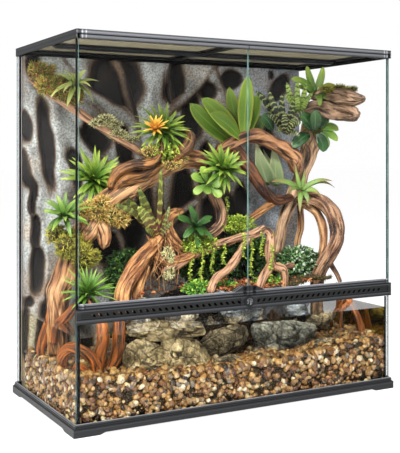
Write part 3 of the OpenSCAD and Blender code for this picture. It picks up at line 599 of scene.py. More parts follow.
@dataclass(frozen=True)
class Pondwater(Finish):
    """Still water, tea-coloured by the wood: mirror-like from low down and at its ends from within."""

    tint: str = "#f5eedb"

    def surface(self, add: Adder) -> bpy.types.Node:
        """Builds the shader."""
        place = add("TexCoord")
        spot = place.outputs["Object"]
        ripple = add("TexNoise", sockets={"Vector": spot, "Scale": per(60), "Detail": 2.0})
        bump = add("Bump", sockets={"Height": ripple.outputs["Fac"], "Strength": 0.3, "Distance": 0.002})
        clear = add("BsdfTransparent", sockets={"Color": linear(self.tint)})
        shine = add("BsdfGlossy", sockets={"Roughness": 0.02, "Normal": bump})
        normal = add("SeparateXYZ", sockets={0: place.outputs["Normal"]})
        top = add("Math", "GREATER_THAN", {0: normal.outputs["Z"], 1: 0.5})
        surface = add("Math", "MULTIPLY", {0: mirror_share(add, 0.03, 1.6), 1: top})
        skin = add("MixShader", sockets={0: surface, 1: clear, 2: shine})
        # Seen from within at this slant, an end of the water mirrors the whole bed
        geometry = add("NewGeometry")
        sideways = add("Math", "ABSOLUTE", {0: normal.outputs["X"]})
        end = add("Math", "GREATER_THAN", {0: sideways, 1: 0.5})
        within = add("Math", "MULTIPLY", {0: end, 1: geometry.outputs["Backfacing"]})
        # Only for the eye, so that light still comes in through the ends
        path = add("LightPath")
        within = add("Math", "MULTIPLY", {0: within, 1: path.outputs["Is Camera Ray"]})
        mirror = add("BsdfGlossy", sockets={"Roughness": 0.05, "Color": linear("#9c9455")})
        return add("MixShader", sockets={0: within, 1: skin, 2: mirror})


@dataclass(frozen=True)
class RockFoam(Finish):
    """Moulded foam with a painted stone look: speckled grey columns, brown-black recesses deepened with
    painted shade.
    """

    def surface(self, add: Adder) -> bpy.types.Node:
        """Builds the shader."""
        spot = add("TexCoord").outputs["Object"]
        # The tone attribute holds painted shade: dark in the recesses over the foam's own dark paint, darker
        # where columns turn away to the right and behind the planting
        height = add("Attribute", {"attribute_name": "tone"})
        speckle = add("TexNoise", sockets={"Vector": spot, "Scale": per(5), "Detail": 6.0})
        patch = add("TexNoise", sockets={"Vector": spot, "Scale": per(110), "Detail": 3.0})
        base = add("ValToRGB", sockets={0: height.outputs["Fac"]}, stops=(
            (0.05, "#0b0908"), (0.3, "#211914"), (0.52, "#62503f"), (0.72, "#83827d"), (1.0, "#a6aaa6"),
        ))
        warm = add("ValToRGB", sockets={0: patch.outputs["Fac"]}, stops=((0.5, "#000000"), (0.7, "#ffffff")))
        some = add("Math", "MULTIPLY", {0: warm, 1: height.outputs["Fac"]})
        less = add("Math", "MULTIPLY", {0: some, 1: 0.6})
        tanned = add("Mix", {"data_type": "RGBA"}, {"Factor": less, "A": base, "B": linear("#a3876a")})
        axes = add("SeparateXYZ", sockets={0: spot})
        cool = add("MapRange", sockets={0: axes.outputs["X"], 1: 0.1, 2: 0.3, 3: 0.0, 4: 0.5})
        cooled = add("Mix", {"data_type": "RGBA", "blend_type": "MULTIPLY"},
                     {"Factor": cool, "A": tanned.outputs[2], "B": linear("#b7c6e6")})
        dots = add("MapRange", sockets={0: speckle.outputs["Fac"], 1: 0.38, 2: 0.62, 3: 0.6, 4: 1.32})
        shade = add("HueSaturation", sockets={"Color": cooled.outputs[2], "Value": dots})
        bump = add("Bump", sockets={"Height": speckle.outputs["Fac"], "Strength": 0.8, "Distance": 0.002})
        return add("BsdfPrincipled", sockets={"Base Color": shade, "Roughness": 0.8, "Normal": bump})


@dataclass(frozen=True)
class Timber(Finish):
    """Weathered driftwood: long raised fibres, dark splits between them, ridges that are bleached and also
    painted lighter as lit, grooves painted darker as shade.
    """

    dark: str
    middle: str
    light: str
    patch: str
    fibre: float = 2.2
    roughness: float = 0.62

    def surface(self, add: Adder) -> bpy.types.Node:
        """Builds the shader."""
        spot = add("TexCoord").outputs["Object"]
        grain = add("Attribute", {"attribute_name": "grain"})
        hollow = add("Attribute", {"attribute_name": "tone"})
        stretched = add("Mapping", sockets={"Vector": grain.outputs["Vector"], "Scale": (1, 1, 0.07)})
        fibres = add("TexNoise", sockets={
            "Vector": stretched, "Scale": per(self.fibre * 2), "Detail": 5.0, "Roughness": 0.7,
        })
        # Drying splits run with the fibres, about 12 mm apart
        split = add("TexNoise", sockets={"Vector": stretched, "Scale": per(self.fibre * 5), "Detail": 2.0})
        near = add("Math", "COMPARE", {0: split.outputs["Fac"], 1: 0.5, 2: 0.022})
        weather = add("TexNoise", sockets={"Vector": spot, "Scale": per(55), "Detail": 4.0})
        # Ridges come out lighter and grooves darker in the ramp: painted light and shade
        mixed = add("Math", "ADD", {0: fibres.outputs["Fac"], 1: hollow.outputs["Fac"]})
        halved = add("Math", "MULTIPLY", {0: mixed, 1: 0.5})
        shade = add("ValToRGB", sockets={0: halved},
                    stops=((0.24, self.dark), (0.48, self.middle), (0.72, self.light)))
        spread = add("MapRange", sockets={0: weather.outputs["Fac"], 1: 0.45, 2: 0.68, 3: 0.0, 4: 0.75})
        patched = add("Mix", {"data_type": "RGBA"}, {"Factor": spread, "A": shade, "B": linear(self.patch)})
        # Painted shade: the grooves are darkened by their depth
        crease = add("MapRange", sockets={0: hollow.outputs["Fac"], 1: 0.1, 2: 0.6, 3: 0.16, 4: 1.12})
        opened = add("MapRange", sockets={0: near, 3: 1.0, 4: 0.28})
        value = add("Math", "MULTIPLY", {0: crease, 1: opened})
        lit = add("HueSaturation", sockets={"Color": patched.outputs[2], "Value": value})
        bump = add("Bump", sockets={"Height": fibres.outputs["Fac"], "Strength": 1.0, "Distance": 0.003})
        return add("BsdfPrincipled", sockets={"Base Color": lit, "Roughness": self.roughness, "Normal": bump})


@dataclass(frozen=True)
class RiverStone(Finish):
    """Natural stone: broad cloudy patches, a fine crystal speckle and painted shade in its hollows."""

    dark: str
    middle: str
    light: str
    speckle: float = 3.0
    contrast: float = 0.35
    roughness: float = 0.55

    def surface(self, add: Adder) -> bpy.types.Node:
        """Builds the shader."""
        spot = add("TexCoord").outputs["Object"]
        hollow = add("Attribute", {"attribute_name": "tone"})
        cloud = add("TexNoise", sockets={"Vector": spot, "Scale": per(40), "Detail": 6.0})
        fine = add("TexNoise", sockets={"Vector": spot, "Scale": per(self.speckle), "Detail": 4.0})
        # The tone attribute is painted shade: on the rocks it darkens their hollows and cracks
        both = add("Math", "MULTIPLY", {0: cloud.outputs["Fac"], 1: hollow.outputs["Fac"]})
        raised = add("Math", "MULTIPLY", {0: both, 1: 1.7})
        shade = add("ValToRGB", sockets={0: raised},
                    stops=((0.15, self.dark), (0.45, self.middle), (0.8, self.light)))
        dots = add("MapRange", sockets={
            0: fine.outputs["Fac"], 1: 0.35, 2: 0.65, 3: 1 - self.contrast, 4: 1 + self.contrast,
        })
        # Cracks run round blocks of about 30 mm, bent by the cloudy pattern
        bent = add("Mix", {"data_type": "VECTOR"}, {"Factor": 0.03, "A": spot, "B": cloud.outputs["Color"]})
        blocks = add("TexVoronoi", {"feature": "DISTANCE_TO_EDGE"}, {
            "Vector": bent.outputs[1], "Scale": per(34),
        })
        crack = add("MapRange", sockets={0: blocks.outputs["Distance"], 1: 0.0, 2: 0.09, 3: 0.3, 4: 1.0})
        value = add("Math", "MULTIPLY", {0: dots, 1: crack})
        lit = add("HueSaturation", sockets={"Color": shade, "Value": value})
        bump = add("Bump", sockets={"Height": value, "Strength": 0.9, "Distance": 0.003})
        return add("BsdfPrincipled", sockets={"Base Color": lit, "Roughness": self.roughness, "Normal": bump})


@dataclass(frozen=True)
class Mixed(Finish):
    """Many small things of many colours, such as wet pebbles, litter or moss: one shade to each."""

    colours: tuple[str, ...]
    roughness: float = 0.3
    vary: float = 0.2
    patch: float = 4.0
    coat: float = 0.0
    level: float = 1.0

    def surface(self, add: Adder) -> bpy.types.Node:
        """Builds the shader."""
        spot = add("TexCoord").outputs["Object"]
        tone = add("Attribute", {"attribute_name": "tone"})
        cloud = add("TexNoise", sockets={"Vector": spot, "Scale": per(self.patch), "Detail": 3.0})
        count = len(self.colours)
        shade = add("ValToRGB", sockets={0: tone.outputs["Fac"]},
                    stops=tuple((i / count, code) for i, code in enumerate(self.colours)))
        shade.color_ramp.interpolation = "CONSTANT"
        value = add("MapRange", sockets={
            0: cloud.outputs["Fac"], 1: 0.3, 2: 0.7, 3: self.level - self.vary, 4: self.level + self.vary,
        })
        lit = add("HueSaturation", sockets={"Color": shade, "Value": value})
        return add("BsdfPrincipled", sockets={
            "Base Color": lit, "Roughness": self.roughness, "Coat Weight": self.coat,
        })


@dataclass(frozen=True)
class LeafSkin(Finish):
    """A living leaf: waxy skin, long veins, a pale rib, its colour running from base to tip."""

    base: str
    middle: str
    tip: str
    rib: str
    edge: str
    bands: str = ""
    gloss: float = 0.36
    # How far all of its hues are turned, in turns of the colour circle
    turn: float = -0.016

    def surface(self, add: Adder) -> bpy.types.Node:
        """Builds the shader."""
        grain = add("Attribute", {"attribute_name": "grain"})
        tone = add("Attribute", {"attribute_name": "tone"})
        axes = add("SeparateXYZ", sockets={0: grain.outputs["Vector"]})
        run = add("ValToRGB", sockets={0: axes.outputs["Y"]},
                  stops=((0.05, self.base), (0.45, self.middle), (0.95, self.tip)))
        out = add("Math", "ABSOLUTE", {0: axes.outputs["X"]})
        veins = add("TexWave", {"bands_direction": "X"}, {
            "Vector": grain.outputs["Vector"], "Scale": 2.4, "Distortion": 0.6, "Detail": 2.0,
        })
        streaks = add("MapRange", sockets={0: veins.outputs["Fac"], 3: 0.88, 4: 1.1})
        rim = add("MapRange", sockets={0: out, 1: 0.72, 2: 1.0, 3: 0.0, 4: 0.8})
        edged = add("Mix", {"data_type": "RGBA"}, {"Factor": rim, "A": run, "B": linear(self.edge)})
        middle = add("MapRange", sockets={0: out, 1: 0.0, 2: 0.14, 3: 0.6, 4: 0.0})
        ribbed = add("Mix", {"data_type": "RGBA"},
                     {"Factor": middle, "A": edged.outputs[2], "B": linear(self.rib)})
        colour = ribbed.outputs[2]
        if self.bands:
            long = add("Mapping", sockets={"Vector": grain.outputs["Vector"], "Scale": (0.25, 1, 1)})
            cross = add("TexWave", {"bands_direction": "Y"}, {
                "Vector": long, "Scale": 2.2, "Distortion": 4.0, "Detail": 2.0, "Detail Scale": 2.0,
            })
            mask = add("MapRange", sockets={0: cross.outputs["Fac"], 1: 0.7, 2: 0.9, 3: 0.0, 4: 0.85})
            colour = add("Mix", {"data_type": "RGBA"},
                         {"Factor": mask, "A": colour, "B": linear(self.bands)}).outputs[2]
        shade = add("MapRange", sockets={0: tone.outputs["Fac"], 3: 0.42, 4: 1.12})
        value = add("Math", "MULTIPLY", {0: shade, 1: streaks})
        warmer = add("MapRange", sockets={0: tone.outputs["Fac"], 3: 0.506 + self.turn, 4: 0.484 + self.turn})
        lit = add("HueSaturation", sockets={
            "Color": colour, "Value": value, "Hue": warmer, "Saturation": 0.96,
        })
        bump = add("Bump", sockets={"Height": veins.outputs["Fac"], "Strength": 0.25, "Distance": 0.0006})
        return add("BsdfPrincipled", sockets={
            "Base Color": lit, "Roughness": self.gloss, "Normal": bump,
            "Specular IOR Level": 0.4,
        })


class Plastics(Enum):
    """The moulded and rubber parts' finishes."""

    BASE = MouldedPlastic("moulded_abs_base", "dark_plastic", "#202123", "#8d8e90", 0.42, "",
                          (("Z", 26.6, 1.6, 2.2), ("Z", 23.4, 1.2, 0.3), ("Z", 18.0, 1.3, 0.4),
                           ("Z", 15.0, 1.4, 1.7)))
    STRIP = MouldedPlastic("moulded_abs_strip", "dark_plastic", "#1a1b1c", "#6a6b6e", 0.42, "#232426", (
        ("Z", 284.4, 1.5, 0.2), ("Z", 281.2, 1.4, 2.1), ("Z", 270.4, 4.6, 0.6), ("Z", 262.6, 1.5, 0.25),
        ("Z", 258.8, 1.8, 2.2),
        ("Z", 252.6, 1.3, 0.4), ("X", 455, 2, 1.8), ("X", -455, 2, 1.8)), -224.0)
    RAIL = MouldedPlastic("moulded_abs_rail", "dark_plastic", "#202123", "#9c9da0", 0.4, "#2c2d30", (
        ("Z", 294.8, 1.6, 4.0), ("Z", 291.2, 1.2, 0.3), ("Z", 288.6, 1.2, 2.2), ("X", 437, 2, 2.0),
        ("X", -437, 2, 2.0), ("X", 432, 1.6, 0.3), ("X", -432, 1.6, 0.3), ("X", 13.5, 5, 0.3),
        ("X", -13.5, 5, 0.3)))
    LID = MouldedPlastic("moulded_abs_lid", "dark_plastic", "#1d1e20", "#3d3e40", 0.38, "#505154", (
        ("Z", 904.3, 1.3, 0.25), ("Z", 913.8, 1.2, 0.5), ("Z", 909.5, 1.4, 1.7), ("Z", 899.5, 1.2, 1.35),
        ("Z", 895, 1.2, 0.5), ("X", 445, 4, 0.35), ("X", -445, 4, 0.35), ("X", -438, 1.6, 2.8),
        ("X", -429, 1.6, 2.8), ("X", 438, 1.6, 2.8), ("X", 429, 1.6, 2.8)))
    TRIM = MouldedPlastic("moulded_abs_black", "black_plastic", "#141517", "#3a3b3d", 0.5)
    SEAL = Rubber("black_silicone_bead", "black_silicone", "#050506")


class Metals(Enum):
    """The metal parts' finishes."""

    # The chrome's dark and bright patches, about 5 mm across, are painted reflections
    CHROME = Metal("chromed_brass", "chromed_metal", "#8f9296", 0.18, "#0c0c0d", 5.0)
    STEEL = Metal("drawn_steel_pin", "plain_steel", "#b9bbbd", 0.3)
    WIRE = Metal("galvanised_wire", "screen_wire", "#aaa48f", 0.7, "#8a8470")


class Wood(Enum):
    """The driftwood's finishes."""

    ORANGE = Timber("driftwood_orange_fibre", "driftwood", "#1b0b04", "#71401b", "#cd9860", "#824a20")
    CUP = Timber("driftwood_red_heartwood", "driftwood", "#120803", "#4a2a10", "#a06c36", "#3a200e", 3.0)
    TAN = Timber("driftwood_peeled_tan", "pale_wood", "#2c170a", "#80522c", "#cda172", "#925f36", 3.0)
    PALE = Timber("driftwood_bleached", "pale_wood", "#33221a", "#7d5b40", "#cba985", "#8d6748", 4.0)
    ARM = Timber("driftwood_smooth_brown", "driftwood", "#221108", "#683f24", "#b3835a", "#774a2b", 3.0)
    PLATE = Timber("driftwood_dark_plate", "driftwood", "#0f0602", "#40200e", "#7f5030", "#35190b", 3.5)
    WEATHERED = Timber("driftwood_weathered", "driftwood", "#100a06", "#52392a", "#ab8c70", "#604631", 3.0)
    LOOP = Timber("driftwood_grooved_loop", "driftwood", "#130905", "#5d3824", "#b08a69", "#6d4930", 2.6)
    BRANCH = Timber("driftwood_pinkish_branch", "driftwood", "#2a170e", "#855a3e", "#c39a78", "#93694c")
    WET = Timber("driftwood_under_water", "wet_wood", "#160702", "#63300e", "#b26829", "#783f12", 2.6, 0.4)


class Stones(Enum):
    """The rocks' and the ground's finishes."""

    GREY = RiverStone("granite_blue_grey", "rock", "#171a1c", "#6f7a82", "#bcc6ce", 5.0, 0.4)
    OLIVE = RiverStone("sandstone_olive_grey", "rock", "#1a1712", "#69645a", "#b3ab99", 5.0, 0.45)
    BEIGE = RiverStone("limestone_beige", "rock", "#2a2116", "#b8ad90", "#f4ecd6", 5.0, 0.35)
    SPECKLED = RiverStone("granite_speckled", "rock", "#2c2c2a", "#8c8c88", "#e6e4dc", 3.5, 0.75)
    # Near black: the bed under the pebbles paints the shade in the gaps between them
    BED = RiverStone("gap_shade_under_pebbles", "river_gravel", "#0a0604", "#1d130b", "#3a2818", 5.0, 0.5)
    SOIL = RiverStone("dark_potting_soil", "soil", "#150e09", "#33231a", "#5a4130", 4.0, 0.5, 0.9)


class Greens(Enum):
    """The plants' finishes."""

    AIR = LeafSkin("leaf_air_plant", "grey_green_leaf", "#5f7a30", "#86a046", "#b6c672", "#aaba68", "#9db05c")
    LIME = LeafSkin("leaf_lime_rosette", "lime_leaf", "#1b4a12", "#44801e", "#a2c440", "#78a836", "#80b030")
    BRIGHT = LeafSkin("leaf_bright_green", "lime_leaf", "#356e1c", "#629626", "#9cc242", "#98ba50", "#a4c650")
    GREEN = LeafSkin("leaf_mid_green", "green_leaf", "#265818", "#4c8226", "#80aa40", "#78a446", "#70a038")
    GRASS = LeafSkin("leaf_grass", "green_leaf", "#245816", "#42841e", "#84b83e", "#58962e", "#62a030")
    BROAD = LeafSkin("leaf_broad", "green_leaf", "#5c8a22", "#4f7f24", "#6c9a30", "#7fa840", "#b8cf4c",
                     gloss=0.27)
    PALE = LeafSkin("leaf_pale_grey_green", "grey_green_leaf", "#4f6a3c", "#76905e", "#b0bd8c", "#93a676",
                    "#a9b886")
    SHADE = LeafSkin("leaf_shade_green", "dark_leaf", "#173d16", "#24591f", "#3c7a2c", "#44803a", "#3a7630")
    DARK = LeafSkin("leaf_dark_glossy", "dark_leaf", "#12301a", "#1f4a26", "#356a36", "#5c8a52", "#2f5f32",
                    gloss=0.25)
    RED = LeafSkin("leaf_red_bromeliad", "red_leaf", "#5a1216", "#4c4a1c", "#4a6a22", "#6e2a1e", "#4a1a14",
                   "#8a9a3c", gloss=0.28)
    STRIPED = LeafSkin("leaf_striped_dark", "striped_leaf", "#0f1a12", "#17291a", "#2c4a26", "#1d331e",
                       "#1b301c",
                       "#a3ac6a", 0.28)
    BANDED = LeafSkin("leaf_striped_light", "striped_leaf", "#5c8a34", "#7fa848", "#8fb850", "#86ac4c",
                      "#9cc256",
                      "#20381c", 0.3)
    VINE = LeafSkin("leaf_trailing_vine", "lime_leaf", "#7a9a24", "#a2bf36", "#c9da5c", "#b6cc50", "#b8cf48")
    FLOWER = LeafSkin("petal_orange", "red_leaf", "#e07a1c", "#f2a52a", "#f6d84a", "#f6c43a", "#f0932a",
                      turn=0.012)
    THIN = LeafSkin("leaf_thin_arching", "green_leaf", "#4d7d2c", "#6d9a44", "#8e6a40", "#8fb45a", "#6f8f3c")


class Small(Enum):
    """Finishes of things that lie or grow in great number."""

    PEBBLES = Mixed("wet_river_pebbles", "river_gravel", (
        "#7a4f2a", "#c9a36b", "#3b2717", "#98744a", "#d8c7a4", "#8d6b45", "#b99a6e", "#5e3c22", "#95703e",
        "#a38a68",
        "#2b211a", "#c2a67a", "#7f5c38", "#7a7064", "#b98d58", "#6e5136", "#e2d6bc", "#75492b", "#a88455",
        "#4a3525",
    ), 0.36, 0.26, 5.0, 0.08, 0.72)
    LITTER = Mixed("dry_leaf_litter", "soil", (
        "#a9562a", "#7a3f20", "#c47a3e", "#5c3018", "#b8683a", "#8a5a34", "#d08a52", "#6a3c22",
    ), 0.75, 0.3, 6.0)
    OLIVE_MOSS = Mixed("moss_olive", "moss", (
        "#8a8a2c", "#a8a23a", "#5f6420", "#c0b44c", "#747a28", "#96862c", "#b0a844", "#474c18",
    ), 0.9, 0.3, 5.0, level=1.15)
    STRAW_MOSS = Mixed("moss_straw", "moss", (
        "#b08f45", "#d9b96a", "#8d7a34", "#c4a458", "#a8843e", "#7f8a38", "#e0c684", "#96702f",
    ), 0.9, 0.3, 5.0, level=1.2)
    WIRY_MOSS = Mixed("moss_wiry", "moss", (
        "#8f8a34", "#6a6a24", "#a9a044", "#7f5a2a", "#58601f", "#94803a", "#a8663a", "#76782c",
    ), 0.85, 0.3, 5.0, level=1.15)
    BROWN_MOSS = Mixed("moss_dead_brown", "moss", (
        "#4a3a1e", "#6b5230", "#33301a", "#7a6038", "#57481f", "#2c2414", "#8a6c42", "#5a3e22",
    ), 0.9, 0.3, 5.0)
    MOSS_SHADE = Mixed("moss_in_its_own_shade", "moss", (
        "#33330f", "#45401a", "#26260c", "#564a20", "#3a3714", "#4a431c", "#1e1c0a", "#524726",
    ), 0.95, 0.3, 5.0)
    LICHEN = Mixed("lichen_cream", "moss", (
        "#c9c78f", "#dcd8aa", "#a8a870", "#b9b582", "#8f9060", "#e4e0bc", "#7a7a50", "#cfcb98",
    ), 0.85, 0.2, 4.0, level=1.35)
    SHADE_LEAVES = Mixed("leaves_small_dark", "dark_leaf", (
        "#254c14", "#386a1c", "#1a3610", "#4a7a24", "#2c5616", "#5e8c30", "#132a0c", "#3c6820",
    ), 0.4, 0.2, 6.0, level=0.72)
    FEATHER_LEAVES = Mixed("leaves_small_feathery", "green_leaf", (
        "#4c7634", "#7ca466", "#365c26", "#aecb9c", "#587f40", "#284a1c", "#cfdfc4", "#426c2e",
    ), 0.45, 0.2, 6.0)
    GROUND_LEAVES = Mixed("leaves_small_ground", "green_leaf", (
        "#4f8f2a", "#6fa832", "#3a7a24", "#8fbe3c", "#5a9a2e", "#2f6a20", "#a0c84a", "#447f28",
    ), 0.45, 0.2, 6.0)
    GOLD_LEAVES = Mixed("leaves_small_gold", "lime_leaf", (
        "#8fa82c", "#a9c03a", "#6f8f26", "#c0cf50", "#98b032", "#5f7f22", "#b4c846", "#7f9a2a",
    ), 0.45, 0.2, 6.0)


# ---------- limbs and leaves ----------


def along(values: np.ndarray, where: np.ndarray) -> np.ndarray:
    """Reads a smooth curve through given values.

    Args:
        values: One row for each given value.
        where: Places along the rows, counted from 0.

    Returns:
        One row for each place.
    """
    last = len(values) - 1
    first = np.minimum(np.floor(where), last - 1).astype(int)
    t = (where - first)[:, None]
    a, b, c, d = (values[np.clip(first + k, 0, last)] for k in (-1, 0, 1, 2))
    return 0.5 * (2 * b + (c - a) * t + (2 * a - 5 * b + 4 * c - d) * t ** 2
                  + (3 * b - a - 3 * c + d) * t ** 3)


@dataclass
class Course:
    """A route with a ring of a given radius and two cross axes at even steps."""

    centre: np.ndarray
    radius: np.ndarray
    run: np.ndarray
    across: np.ndarray
    over: np.ndarray

    @classmethod
    def through(cls, route: tuple[Point, ...], radii: tuple[float, ...], step: float) -> "Course":
        """Lays a course through given points.

        Args:
            route: The points in millimetres.
            radii: A radius at each.
            step: Distance between rings.

        Returns:
            The course.
        """
        points = np.array(route, float)
        last = len(points) - 1
        where = np.linspace(0, last, 50 * last + 1)
        lengths = np.linalg.norm(np.diff(along(points, where), axis=0), axis=1)
        reach = np.concatenate([[0], np.cumsum(lengths)])
        rings = max(8, round(reach[-1] / step))
        run = np.linspace(0, reach[-1], rings + 1)
        where = np.interp(run, reach, where)
        centre = along(points, where)
        radius = along(np.array(radii, float)[:, None], where)[:, 0]
        heading = unit(np.gradient(centre, axis=0))
        centre[0] -= heading[0] * radius[0] * 0.4
        centre[-1] += heading[-1] * radius[-1] * 0.4
        across = np.zeros_like(centre)
        side = unit(np.cross(heading[0], [0.1, 1, 0.05]))
        for k, ahead in enumerate(heading):
            side = unit(side - ahead * (side @ ahead))
            across[k] = side
        return cls(centre, radius, run, across, np.cross(heading, across))

    def strand(self, turn: float, twist: float, share: float, reach: float, seed: int) -> "Course":
        """A thinner course that winds round this one.

        Args:
            turn: Where it starts, as an angle.
            twist: Angle that it winds in a millimetre.
            share: Its radius as a share of this one's.
            reach: How far out it lies, as a share of this radius.
            seed: Picks how it wanders.

        Returns:
            The strand's course.
        """
        steps = np.stack([self.run, np.full_like(self.run, seed * 37.0), np.zeros_like(self.run)], axis=1)
        angle = turn + twist * self.run + 0.5 * lumps(steps, 70, seed)
        size = self.radius * share * (1 + 0.25 * lumps(steps, 45, seed + 5))
        near = self.radius * reach * (1 + 0.18 * lumps(steps, 60, seed + 9))
        ends = smooth_step(np.minimum(self.run, self.run[-1] - self.run), -20, 25)[:, None]
        out = (self.across * np.cos(angle)[:, None] + self.over * np.sin(angle)[:, None]) * near[:, None]
        return Course(self.centre + out * ends, size, self.run, self.across, self.over)

    def wrap(self, heap: Heap, segments: int, groove: float, knot: float, flat: float, twist: float,
             seed: int) -> None:
        """Adds bark round the course.

        Args:
            heap: Takes the shape.
            segments: Points in a ring.
            groove: Depth of the splits as a share of the radius.
            knot: Height of the lumps as a share of the radius.
            flat: How much deeper than wide it is, along Y.
            twist: How fast the splits wind, in turns of the ring for each radius.
            seed: Picks the lumps.
        """
        rings = len(self.run) - 1
        grid = ball(segments, rings)
        turn, radius, run = grid.turn, self.radius[grid.ring], self.run[grid.ring]
        skin = np.stack([np.cos(turn) * radius, np.sin(turn) * radius, run], axis=1)
        steady = skin + np.array([seed * 61.0, seed * 17.0, 0])
        wander = twist * run / 20 + 0.5 * lumps(steady * [0.2, 0.2, 1], 60, seed)
        round_way = 2 * math.pi * self.radius.max()
        splits = sum(share * (np.abs(np.sin((turn + wander * (1 + k * 0.03)) * k / 2 + k)) ** 0.55 - 0.75)
                     for share, k in ((0.45, 4), (0.45, max(5, round(round_way / 15))),
                                      (0.4, round(round_way / 9))))
        swell = lumps(steady, 34, seed + 3, 2)
        ridge = 0.75 - np.abs(lumps(steady * [1, 1, 0.14] + wander[:, None] * [6, 0, 0], 13, seed + 21,
                                    3)) * 2.4
        bulge = lumps(steady, 80, seed + 30)
        size = radius * (1 + groove * splits * 0.8 + 1.3 * knot * swell + groove * 0.5 * ridge + 0.16 * bulge)
        left = np.minimum(run, self.run[-1] - run)
        size *= np.sqrt(np.clip(left / (0.6 * radius), 0, 1)) * (grid.ring > 0) * (grid.ring < rings)
        out = (self.across[grid.ring] * np.cos(turn)[:, None] + self.over[grid.ring] * np.sin(turn)[:, None])
        out[:, 1] *= flat
        # How high the bark stands; the finish turns it into painted shade in the grooves and painted light on
        # the ridges
        hollow = np.clip(0.5 + 0.6 * splits + 0.25 * swell + 0.5 * ridge, 0, 1)
        heap.add(self.centre[grid.ring] + out * size[:, None], grid.faces, skin * MM, hollow)


@dataclass(frozen=True)
class Limb:
    """One limb of driftwood: its route in millimetres, a radius at each point and its character."""

    route: tuple[Point, ...]
    radii: tuple[float, ...]
    flat: float = 1.0
    strands: int = 0
    groove: float = 0.14
    knot: float = 0.12
    twist: float = 0.08
    seed: int = 1

    def grow(self, heap: Heap) -> None:
        """Adds the limb to a heap."""
        course = Course.through(self.route, self.radii, 3.0)
        thick = max(self.radii)
        segments = 72 if thick > 20 else 56 if thick > 10 else 28 if thick > 3 else 6
        if not self.strands:
            course.wrap(heap, segments, self.groove, self.knot, self.flat, self.twist, self.seed)
            return
        course.radius = course.radius * 0.78
        course.wrap(heap, 40, self.groove, self.knot, self.flat, self.twist, self.seed)
        course.radius = course.radius / 0.78
        for k in range(self.strands):
            turn = 2 * math.pi * k / self.strands + self.seed
            strand = course.strand(turn, self.twist / 20, 0.42, 0.6, self.seed * 10 + k)
            strand.wrap(heap, 30, self.groove, self.knot, self.flat, self.twist, self.seed * 7 + k)


class Outline(Enum):
    """Outlines of leaves: powers of the distances from root and tip."""

    STRAP = (0.3, 0.5)
    OVAL = (0.75, 0.65)
    LANCE = (0.5, 0.95)
    GRASS = (0.18, 0.8)
    SPOON = (1.2, 0.5)
    FAN = (0.3, 1.3)

    def widths(self, places: np.ndarray) -> np.ndarray:
        """Half widths at places from 0 at the root to 1 at the tip, with a greatest of 1."""
        a, b = self.value
        peak = (a / (a + b)) ** a * (b / (a + b)) ** b
        return places ** a * (1 - places) ** b / peak


def lay_leaf(heap: Heap, centre: np.ndarray, side: np.ndarray, width: float, outline: Outline,
             fold: float = 0.25,
             thick: float = 0.5, tone: float = 0.5, wave: float = 0.0) -> None:
    """Adds one leaf round its middle line.

    Args:
        heap: Takes the leaf.
        centre: Points of its rib, from root to tip.
        side: The direction across it, at each point or the same for all.
        width: Its greatest width.
        outline: Its outline.
        fold: How far its halves fold up.
        thick: Half of its thickness.
        tone: Its shade from 0 to 1.
        wave: Height of the waves along its edges as a share of its width.
    """
    rings = len(centre) - 1
    grid = ball(8, rings)
    heading = unit(np.gradient(centre, axis=0))
    across = unit(side - heading * np.sum(np.broadcast_to(side, centre.shape) * heading, axis=1)[:, None])
    face = np.cross(heading, across)
    places = np.linspace(0, 1, rings + 1)
    half = width / 2 * outline.widths(places)
    out = np.cos(grid.turn)
    w = half[grid.ring]
    s = places[grid.ring]
    lift = fold * np.abs(out) ** 1.4 * w + wave * width * out * np.sin(s * 16 + tone * 9)
    body = thick * np.sin(grid.turn) * (1.2 - s) * (grid.ring > 0) * (grid.ring < rings)
    points = (centre[grid.ring] + across[grid.ring] * (out * w)[:, None]
              + face[grid.ring] * (lift + body)[:, None])
    heap.add(points, grid.faces, np.stack([out, s, np.full_like(s, tone)], axis=1), np.full(len(s), tone))


def arching(root: np.ndarray, outward: np.ndarray, up: np.ndarray, length: float, rise: float, bend: float,
            rings: int = 9) -> np.ndarray:
    """The rib of a leaf that leaves its root at one angle and bends down evenly.

    Args:
        root: Where it starts.
        outward: The way that it leans.
        up: The plant's own up.
        length: Its length.
        rise: Angle above outward at the root, in degrees.
        bend: How far it turns down by its tip, in degrees.
        rings: Steps along it.

    Returns:
        Points along the rib.
    """
    angle = np.radians(rise - bend * np.linspace(0, 1, rings + 1))
    step = length / rings
    flat = np.concatenate([[0], np.cumsum(np.cos(angle[:-1])) * step])
    high = np.concatenate([[0], np.cumsum(np.sin(angle[:-1])) * step])
    return root + flat[:, None] * outward + high[:, None] * up


